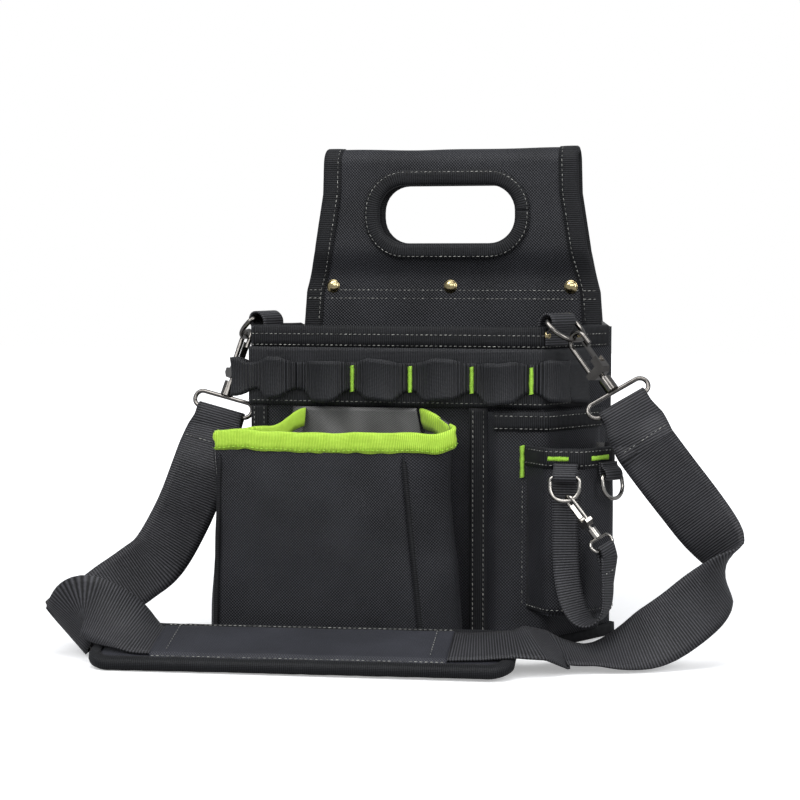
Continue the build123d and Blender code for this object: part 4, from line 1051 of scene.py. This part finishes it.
def make_strap():
    """Shoulder webbing from the right hook under the pad's sleeve, through the adjuster and up to the left hook."""
    right = around(ROD_RIGHT, Vector((0.45, -0.06, -0.89)), EYE_RIGHT, FORWARD, EYE_REACH, 30, 32.5, STRAP_WIDE)
    turn = [
        (139, -51, 133, 0.80, 0.05, 0.59),
        (152, -47, 115, 0.80, 0.10, 0.60),
        (172, -41, 88, 0.74, -0.05, 0.62),
        (187, -43, 67, 0.52, -0.45, 0.66),
        (185, -55, 51, -0.30, -0.46, 0.80),
        (172, -67, 37, -0.62, -0.05, 0.76),
        (152, -74, 22, -0.62, 0.25, 0.70),
        (130, -78, 12, -0.35, 0.80, 0.45),
        (110, -83, 8.5, -0.05, 1, 0.12),
        (92, -90, 12, 0.0, 1, 0.16),
    ]
    pad = [on_pad(-140, 6, 1.2), on_pad(-128, 4, 0.9), on_pad(-108, 1, 0.3)]
    pad += [on_pad(along, 0, 0) for along in (-92, 0, 60, 84)]
    reach = 1.2 + 0.2 + WEB / 2
    under, over = -(1.2 + 0.35 + WEB / 2), reach + WEB + 0.5
    # The webbing stands up on its edge past the pad and rolls over into the adjuster.
    rise = [
        on_pad(92, 0, 0.1),
        (-158, -133.2, 18.4, 0.0, 0.88, 0.47),
        (-167, -134.5, 24.0, 0.03, 0.70, 0.71),
        (-177, -136.0, 29.0, 0.03, 0.45, 0.89),
        (-186, -136.6, 32.6, 0.0, 0.22, 0.97),
        (-193.8, -136.4, 34.4, -0.10, 0.10, 0.99),
        (-200.4, -134.8, 31.0, -0.25, -0.03, 0.97),
        (-205.4, -131.4, 23.4, -0.44, -0.10, 0.89),
        (-208.6, -127.8, 18.2, -0.57, -0.08, 0.82),
        on_glide(-15.5, under),
    ]
    glide = [(-11.5, under), (-8, under * 0.1), (-5, over * 0.62), (-2.5, over * 0.93)]
    glide += [(0, over), (2.5, over * 0.93), (5, over * 0.62), (8, under * 0.1), (11.5, under), (15, under)]
    leg = [
        (-208.5, -88, 25, -0.66, -0.12, 0.72),
        (-199, -77, 34, -0.72, -0.22, 0.64),
        (-186, -67, 44, -0.74, -0.30, 0.58),
        (-173, -59.5, 56, -0.76, -0.35, 0.52),
        (-160, -48, 84, -0.80, -0.42, 0.42),
        (-151, -41, 112, -0.88, -0.30, 0.34),
    ]
    leg = smooth_line(leg, 4)
    left = around(ROD_LEFT, Vector((-0.30, -0.22, -0.93)), -EYE_LEFT, FORWARD, EYE_REACH, 24, 32.5, STRAP_WIDE)
    rows = [*right, *smooth_line(turn, 4), *pad, *smooth_line(rise, 4)]
    rows += [*[on_glide(*spot) for spot in glide], *leg, *reversed(left)]
    lift = WEB + 0.5
    low = under - lift
    turns = [radians(degrees) for degrees in range(180, -1, -20)]
    end = [(-reach * sin(turn), -reach * cos(turn)) for turn in turns]
    end += [(3, -reach - 0.5), (8, low + 0.3), (12, low), (15, low)]
    for name, stations, node, lifted, step in (
        ("shoulder_webbing", rows, "strap_webbing", 0.0, 1.8),
        ("shoulder_webbing_return", [on_glide(15, under), *leg], "strap_return", -lift, 2.0),
        ("shoulder_webbing_end", [on_glide(*spot) for spot in end], "strap_return_end", 0.0, 1.0),
    ):
        ribbon(name, stations, STRAP_WIDE, WEB, "shoulder_strap", node, step, lifted)
    return rows


def pad_waist(x):
    """How far the pad's long edges draw in, as a share of its half width, x as a share of its half length."""
    return 0.025 * (1 - x**6) if abs(x) <= 1 else 0.0


def make_pad():
    """Shoulder pad: padded base, sleeve over the webbing and bound edge."""

    def half(side):
        trim = 15.0

        def place(u, v):
            a, b = 2 * u - 1, 2 * v - 1
            x, y = a * PAD_LONG / 2, b * PAD_WIDE / 2
            dx, dy = abs(x) - PAD_LONG / 2 + trim, abs(y) - PAD_WIDE / 2 + trim
            if dx > 0 and dy > 0:
                inward = max(dx, dy) / sqrt(dx * dx + dy * dy)
                x -= (dx - dx * inward) * (1 if a > 0 else -1)
                y -= (dy - dy * inward) * (1 if b > 0 else -1)
            y *= 1 - pad_waist(a) * abs(b)
            if max(abs(a), abs(b)) > 0.999:
                return pad_spot(x, y, PAD_CORE)
            edge = max(abs(a) ** 14, abs(b) ** 5)
            quilt = 0.35 * (1 - edge) * sin(x * 2 * pi / 23)
            quilt = quilt if side < 0 else -abs(quilt * 0.4)
            return pad_spot(x, y, PAD_CORE + side * (3.0 - 1.7 * edge) + quilt)

        return sheet_mesh(120, 30, place, (PAD_LONG, PAD_WIDE))

    top, bottom = half(1), half(-1)
    bmesh.ops.reverse_faces(top, faces=top.faces)
    mesh = bpy.data.meshes.new("pad half")
    bottom.to_mesh(mesh)
    bottom.free()
    top.from_mesh(mesh)
    bpy.data.meshes.remove(mesh)
    bmesh.ops.remove_doubles(top, verts=top.verts, dist=0.05)
    bmesh.ops.recalc_face_normals(top, faces=top.faces)
    finish_object("shoulder_pad", top, "pad", "pad_cloth", ("pad_base",), "pad_foam")

    ring = Line(rounded_box(PAD_LONG + 0.4, PAD_WIDE + 0.4, 15.5))

    def edge(t):
        point = ring.at(t)[0]
        return pad_spot(point.x, point.y * (1 - pad_waist(point.x / PAD_LONG * 2)), PAD_CORE)

    def inward(t):
        run = ring.soft(t)[1]
        return PAD_RUN * -run.y + PAD_ACROSS * run.x

    tape = folded_tape(
        "shoulder_pad_edge_tape", edge, inward, lambda t: PAD_UP, 6.5, 3.6, "pad_binding", 300, 0.8, True, 0.3, "pad",
    )
    tape.data.flip_normals()

    def sleeve_place(u, v):
        x, y = lerp(-90, 90, u), lerp(-25.5, 25.5, v)
        near = abs(y)
        rise = 2.3 * (1 - ease((near - 19) / 3.5)) + 0.15
        if near < 21:
            soft = 0.5 * cos(pi * y / 42) ** 2 + 0.5 * noise.noise(Vector((x / 26, y / 15, 3)))
            rise += soft * (1 - ease((abs(x) - 84) / 6) * 0.5)
        return pad_spot(x, y, rise - 0.95)

    bm = sheet_mesh(90, 34, sleeve_place, (180, 53))
    sleeve = finish_object("shoulder_pad_sleeve", bm, "pad", "pad_cloth", ("pad_sleeve",), "pad_cloth", 1.0)
    sleeve.data.flip_normals()


# ---------------------------------------------------------------- thread
def make_stitches(sizes):
    """Rows of visible sewing thread on the bag, pockets and handle."""
    pitch = sizes.pitch / MM
    rows = []

    def level(points, z, outward):
        rows.append(([point + UP * z for point in points], outward))

    plan = soft_corners([on_side(True, 20), *BODY_LINE[1:3], on_side(False, 22)], 3.5)
    for z in (198.6, 191.6):
        level(shifted(plan, 1.25), z, lambda p: unit(p.x + 16, p.y * 3, 0) if abs(p.y) < 30 else FORWARD)
    band = soft_corners(shifted(BAND_LINE, 2.0), 3)
    level(band, BAND_LOW + 2.6, lambda p: FORWARD if LEFT_X < p.x < RIGHT_X else unit(p.x, 0, 0))

    for z in (226.0, 220.5):
        for face, y in ((-1, 25.6), (1, 32.4)):
            rows.append(([(x, y, z) for x in (-86, 86)], (0, face, 0)))
            for side in (-1, 1):
                ends = [(side * x, y + face * 1.15, z) for x in (88, half_width(z) - 1.5)]
                rows.append((ends, (0, face, 0)))
    rows.append(([(x, 32.4, 194) for x in (-88, 88)], -FORWARD))
    path = handle_line()
    for side in (-1, 1):
        points = []
        for step in range(60):
            point, run = path.soft(0.06 + 0.9 * step / 59, 0.01)
            spot = Vector((side * (half_width(point.z) - 10.3), point.y, point.z))
            points.append(spot + leaf_out(run) * 2.15)
        rows.append(([p for p in points if p.y < FOLD_Y - 0.5], FORWARD))
        rows.append(([p for p in points if p.y > FOLD_Y + 0.5], -FORWARD))
    hole = rounded_box(HOLE[2] + 15.4, HOLE[3] + 15.4, HOLE[4] + 7.7)
    for face, y in ((-1, 17.95), (1, 40.05)):
        rows.append(([(p.x + HOLE[0], y, p.y + HOLE[1]) for p in hole], (0, face, 0)))

    for x, y in ((28.6, -36.95), (35.4, -36.95), (LEFT_X + 2.4, -35.35), (LEFT_X + 9, -35.35)):
        rows.append(([(x, y, z) for z in (11, 152)], FORWARD))
    small = soft_corners(SMALL_LINE[:5], 3.5)
    for z, lift in ((128.6, 1.25), (120.2, 1.45), (30.2, 0.45)):
        level(shifted(small, lift), z, lambda p: SIDE_OUT if p.x > 102 and p.y > -56 else FRONT_OUT)
    mouth = soft_corners(TALL_LINE[2:5], 3)
    for z, lift in ((140.8, 1.45), (148.6, 1.3)):
        level(shifted(mouth, lift), z, lambda p: OUT_RIGHT if p.y > -38 else FORWARD)
    rows.append(([(61.2, CORNER_Y - 0.1, z) for z in (30, 109)], FORWARD))
    stitches("grey_thread", rows, "pouch", "thread", pitch)

    rim, points = PocketWall(0, 5, 3.0), []
    for step in range(120):
        u = 0.012 + 0.976 * step / 119
        top = rim.top(u)
        points.append(top + rim.down(u) * 10.6 + rim.out(u, 138) * 1.55 + UP * ripple(top, 18, 1.5))

    def outward(p):
        return FORWARD if p.y < -78 else Vector((1 if p.x > -40 else -1, -0.2, 0))

    stitches("green_edge_thread", [(points, outward)], "pouch", "lime", pitch, 2.2, 0.3, slot="green_thread")


def make_strap_stitches(rows, sizes):
    """Sewn ends of the shoulder webbing and the pad's sleeve."""
    for name, near, far in (("right", rows[11], rows[12]), ("left", rows[-12], rows[-13])):
        sewn_end(f"strap_hem_thread_{name}", near, far, 10, 17.5, 1.7, "shoulder_strap", sizes)
    lines = [([pad_spot(x, y, 0.5) for x in (-89, 89)], PAD_UP) for y in (-22.892, 22.892)]
    lines += [([pad_spot(x, y, 2.75) for y in (-18, 18)], PAD_UP) for x in (-80, 80)]
    stitches("pad_sleeve_thread", lines, "pad", "thread", sizes.pitch / MM)


def make_rivets():
    """Domed brass rivet heads on both faces of the handle, and two small ones beside the right ring tab."""
    handle = [
        (Vector((x, y, 228.5)), Vector((0, out, 0)), 4.1, 1.9)
        for x in (-80.5, 0, 80.5)
        for y, out in ((25.45, -1), (32.55, 1))
    ]
    collar = [(on_side(False, y) + OUT_RIGHT * 2.0 + UP * 199.0, OUT_RIGHT, 2.5, 1.5) for y in (-31.0, -3.0)]
    for name, nodes, heads in (("handle_rivet_heads", ("handle_rivets",), handle), ("collar_rivet_heads", (), collar)):
        bm = bmesh.new()
        for middle, out, radius, tall in heads:
            turn = Matrix.Translation(middle) @ out.to_track_quat("Z", "Y").to_matrix().to_4x4()
            dome = turn @ Matrix.Diagonal((radius, radius, tall, 1))
            bmesh.ops.create_uvsphere(bm, u_segments=28, v_segments=14, radius=1.0, matrix=dome)
            bmesh.ops.create_cone(
                bm, cap_ends=True, segments=28, radius1=radius + 0.5, radius2=radius + 0.2, depth=0.5, matrix=turn
            )
        finish_object(name, bm, "pouch", "brass", nodes, "brass_rivet")


# ---------------------------------------------------------------- hard pieces
METALS = {
    "gunmetal": (
        "top_ring_left", "top_ring_right", "hook_body_left", "hook_body_right", "hook_gate_left", "hook_gate_right",
        "hook_yoke_left", "hook_yoke_right", "tri_glide",
    ),
    "nickel": ("tape_ring", "spare_ring", "tape_snap_body", "tape_snap_gate", "tape_snap_eye"),
    "board": ("back_board", "base_board"),
}


def make_metal():
    """Finishes of the rings, hooks, adjuster and stiffeners, and the rivets' domed heads."""
    make_rivets()
    for finish, names in METALS.items():
        for name in names:
            repaint(name, finish)


# ---------------------------------------------------------------- stage
def placed(name, data, place, look):
    """An object in the scene that looks along a direction, in metres."""
    holder = bpy.data.objects.new(name, data)
    holder.location = place
    holder.rotation_euler = look.to_track_quat("-Z", "Y").to_euler()
    bpy.context.scene.collection.objects.link(holder)
    return holder


def area_light(name, place, size, watts):
    """Soft rectangular white lamp aimed at the pouch's middle, in metres."""
    lamp = bpy.data.lights.new(name, "AREA")
    lamp.shape = "RECTANGLE"
    lamp.size, lamp.size_y = size
    lamp.energy = watts
    return placed(name, lamp, place, Vector((-0.02, -0.04, 0.15)) - Vector(place))


def seen_apart(tree, others, camera, output):
    """Shows the camera one shader and every other ray another."""
    rays, mix = tree.nodes.new("ShaderNodeLightPath"), tree.nodes.new("ShaderNodeMixShader")
    for socket, value in enumerate((rays.outputs["Is Camera Ray"], others, camera)):
        tree.links.new(value, mix.inputs[socket])
    tree.links.new(mix.outputs[0], tree.nodes[output].inputs["Surface"])


def make_stage(sizes):
    """White sweep, soft lamps and the camera."""
    bm = bmesh.new()
    bmesh.ops.create_grid(bm, x_segments=1, y_segments=1, size=4.0)
    mesh = bpy.data.meshes.new("floor")
    bm.to_mesh(mesh)
    bm.free()
    floor = bpy.data.objects.new("floor", mesh)
    bpy.context.scene.collection.objects.link(floor)
    # To the camera the paper glows more with distance, so the sweep shows no edge. Other rays meet plain grey.
    white = Finish("white paper sweep", "#f7f7f7", 0.9)
    shadow = white.add("ShaderNodeBsdfDiffuse", (("Color", colour("#f4f4f5")),))
    where = white.add("ShaderNodeTexCoord").outputs["Object"]
    away = white.add("ShaderNodeVectorMath", ((0, where),), operation="LENGTH").outputs["Value"]
    far = white.add("ShaderNodeMapRange", ((0, away), (1, 0.3), (2, 1.1), (3, 0.35), (4, 1.0))).outputs[0]
    glow = white.add("ShaderNodeEmission", (("Color", colour("#ffffff")), ("Strength", far)))
    both = white.add("ShaderNodeAddShader", ((0, shadow.outputs[0]), (1, glow.outputs[0])))
    bounce = white.add("ShaderNodeBsdfDiffuse", (("Color", colour("#a4a4a6")),))
    seen_apart(white.tree, bounce.outputs[0], both.outputs[0], "Material Output")
    floor.data.materials.append(white.material)

    world = bpy.data.worlds.new("studio")
    world.use_nodes = True
    nodes = world.node_tree.nodes
    sky, seen = nodes["Background"], nodes.new("ShaderNodeBackground")
    for node, tint, strength in ((sky, "#dfe3e8", sizes.fill), (seen, "#ffffff", 1.0)):
        node.inputs[0].default_value = colour(tint)
        node.inputs[1].default_value = strength
    seen_apart(world.node_tree, sky.outputs[0], seen.outputs[0], "World Output")
    scene = bpy.context.scene
    scene.world = world
    lamps = [
        area_light("key lamp", (-0.9, -1.3, 1.5), (0.9, 0.9), sizes.key),
        area_light("right lamp", (1.4, -0.9, 0.9), (0.7, 1.1), sizes.key * 0.75),
        area_light("top lamp", (0.0, -0.55, 1.6), (1.2, 0.8), sizes.key * 0.8),
        area_light("front lamp", (0.2, -1.8, 0.9), (1.2, 0.6), sizes.key * 0.5),
    ]
    camera = bpy.data.cameras.new("camera")
    camera.sensor_width = 36
    camera.lens = 89.3
    camera.clip_start = 0.01
    yaw, pitch = radians(14), radians(4)
    look = Vector((-sin(yaw) * cos(pitch), cos(yaw) * cos(pitch), -sin(pitch)))
    scene.camera = placed("camera", camera, Vector((-0.028, 0, 0.1545)) - look * 1.3, look)
    scene.view_settings.view_transform = "Standard"


# ---------------------------------------------------------------- add-on
class PouchSettings(bpy.types.PropertyGroup):
    """Sizes and lamp strengths a user may change before building."""

    pitch: bpy.props.FloatProperty(
        name="Stitch pitch", description="Length from one stitch to the next", default=0.0031, min=0.001, unit="LENGTH"
    )
    key: bpy.props.FloatProperty(
        name="Key lamp", description="Power of the main lamp", default=15.0, min=0.0, subtype="POWER"
    )
    fill: bpy.props.FloatProperty(
        name="Fill", description="Strength of the light from all round", default=0.5, min=0.0, subtype="FACTOR"
    )


class POUCH_OT_bag(bpy.types.Operator):
    """Builds the bag's cloth and seam tapes"""

    bl_idname = "pouch.bag"
    bl_label = "Bag"

    def execute(self, context):
        make_bag()
        return {"FINISHED"}


class POUCH_OT_handle(bpy.types.Operator):
    """Builds the folded handle with its bound hand hole"""

    bl_idname = "pouch.handle"
    bl_label = "Handle"

    def execute(self, context):
        make_handle()
        return {"FINISHED"}


class POUCH_OT_pocket(bpy.types.Operator):
    """Builds the bellows pocket with its green edge"""

    bl_idname = "pouch.pocket"
    bl_label = "Bellows pocket"

    def execute(self, context):
        make_pocket()
        return {"FINISHED"}


class POUCH_OT_loops(bpy.types.Operator):
    """Builds the band and its tool loops"""

    bl_idname = "pouch.loops"
    bl_label = "Tool loops"

    def execute(self, context):
        make_loops()
        return {"FINISHED"}


class POUCH_OT_side_pockets(bpy.types.Operator):
    """Builds the slip pocket, the corner pocket and their ring webbing"""

    bl_idname = "pouch.side_pockets"
    bl_label = "Right-hand pockets"

    def execute(self, context):
        make_side_pockets()
        make_tape_strap(context.scene.pouch)
        return {"FINISHED"}


class POUCH_OT_ring_tabs(bpy.types.Operator):
    """Builds the webbing eyes of the top rings"""

    bl_idname = "pouch.ring_tabs"
    bl_label = "Ring webbing"

    def execute(self, context):
        make_ring_tabs()
        return {"FINISHED"}


class POUCH_OT_strap(bpy.types.Operator):
    """Builds the shoulder webbing and its sewn ends"""

    bl_idname = "pouch.strap"
    bl_label = "Shoulder strap"

    def execute(self, context):
        make_strap_stitches(make_strap(), context.scene.pouch)
        return {"FINISHED"}


class POUCH_OT_pad(bpy.types.Operator):
    """Builds the shoulder pad"""

    bl_idname = "pouch.pad"
    bl_label = "Shoulder pad"

    def execute(self, context):
        make_pad()
        return {"FINISHED"}


class POUCH_OT_thread(bpy.types.Operator):
    """Sews the visible rows of thread"""

    bl_idname = "pouch.thread"
    bl_label = "Thread"

    def execute(self, context):
        make_stitches(context.scene.pouch)
        return {"FINISHED"}


class POUCH_OT_metal(bpy.types.Operator):
    """Finishes the metal and the stiffeners"""

    bl_idname = "pouch.metal"
    bl_label = "Metal"

    def execute(self, context):
        make_metal()
        return {"FINISHED"}


class POUCH_OT_stage(bpy.types.Operator):
    """Sets up the floor, the lamps and the camera"""

    bl_idname = "pouch.stage"
    bl_label = "Stage"

    def execute(self, context):
        make_stage(context.scene.pouch)
        return {"FINISHED"}


OPERATORS = (
    POUCH_OT_bag, POUCH_OT_handle, POUCH_OT_pocket, POUCH_OT_loops, POUCH_OT_side_pockets, POUCH_OT_ring_tabs,
    POUCH_OT_strap, POUCH_OT_pad, POUCH_OT_thread, POUCH_OT_metal, POUCH_OT_stage,
)


class POUCH_PT_panel(bpy.types.Panel):
    """Buttons that build the pouch piece by piece"""

    bl_idname = "POUCH_PT_panel"
    bl_label = "Tool Pouch"
    bl_space_type = "VIEW_3D"
    bl_region_type = "UI"
    bl_category = "Tool Pouch"

    def draw(self, context):
        column = self.layout.column()
        for name in ("pitch", "key", "fill"):
            column.prop(context.scene.pouch, name)
        for operator in OPERATORS:
            column.operator(operator.bl_idname)


def register():
    """Adds the settings, operators and panel."""
    for item in (PouchSettings, *OPERATORS, POUCH_PT_panel):
        bpy.utils.register_class(item)
    bpy.types.Scene.pouch = bpy.props.PointerProperty(type=PouchSettings)


def unregister():
    """Takes them away again."""
    del bpy.types.Scene.pouch
    for item in reversed((PouchSettings, *OPERATORS, POUCH_PT_panel)):
        bpy.utils.unregister_class(item)


def main():
    """Builds everything."""
    register()
    for operator in OPERATORS:
        group, name = operator.bl_idname.split(".")
        getattr(getattr(bpy.ops, group), name)()


if __name__ == "__main__":
    main()
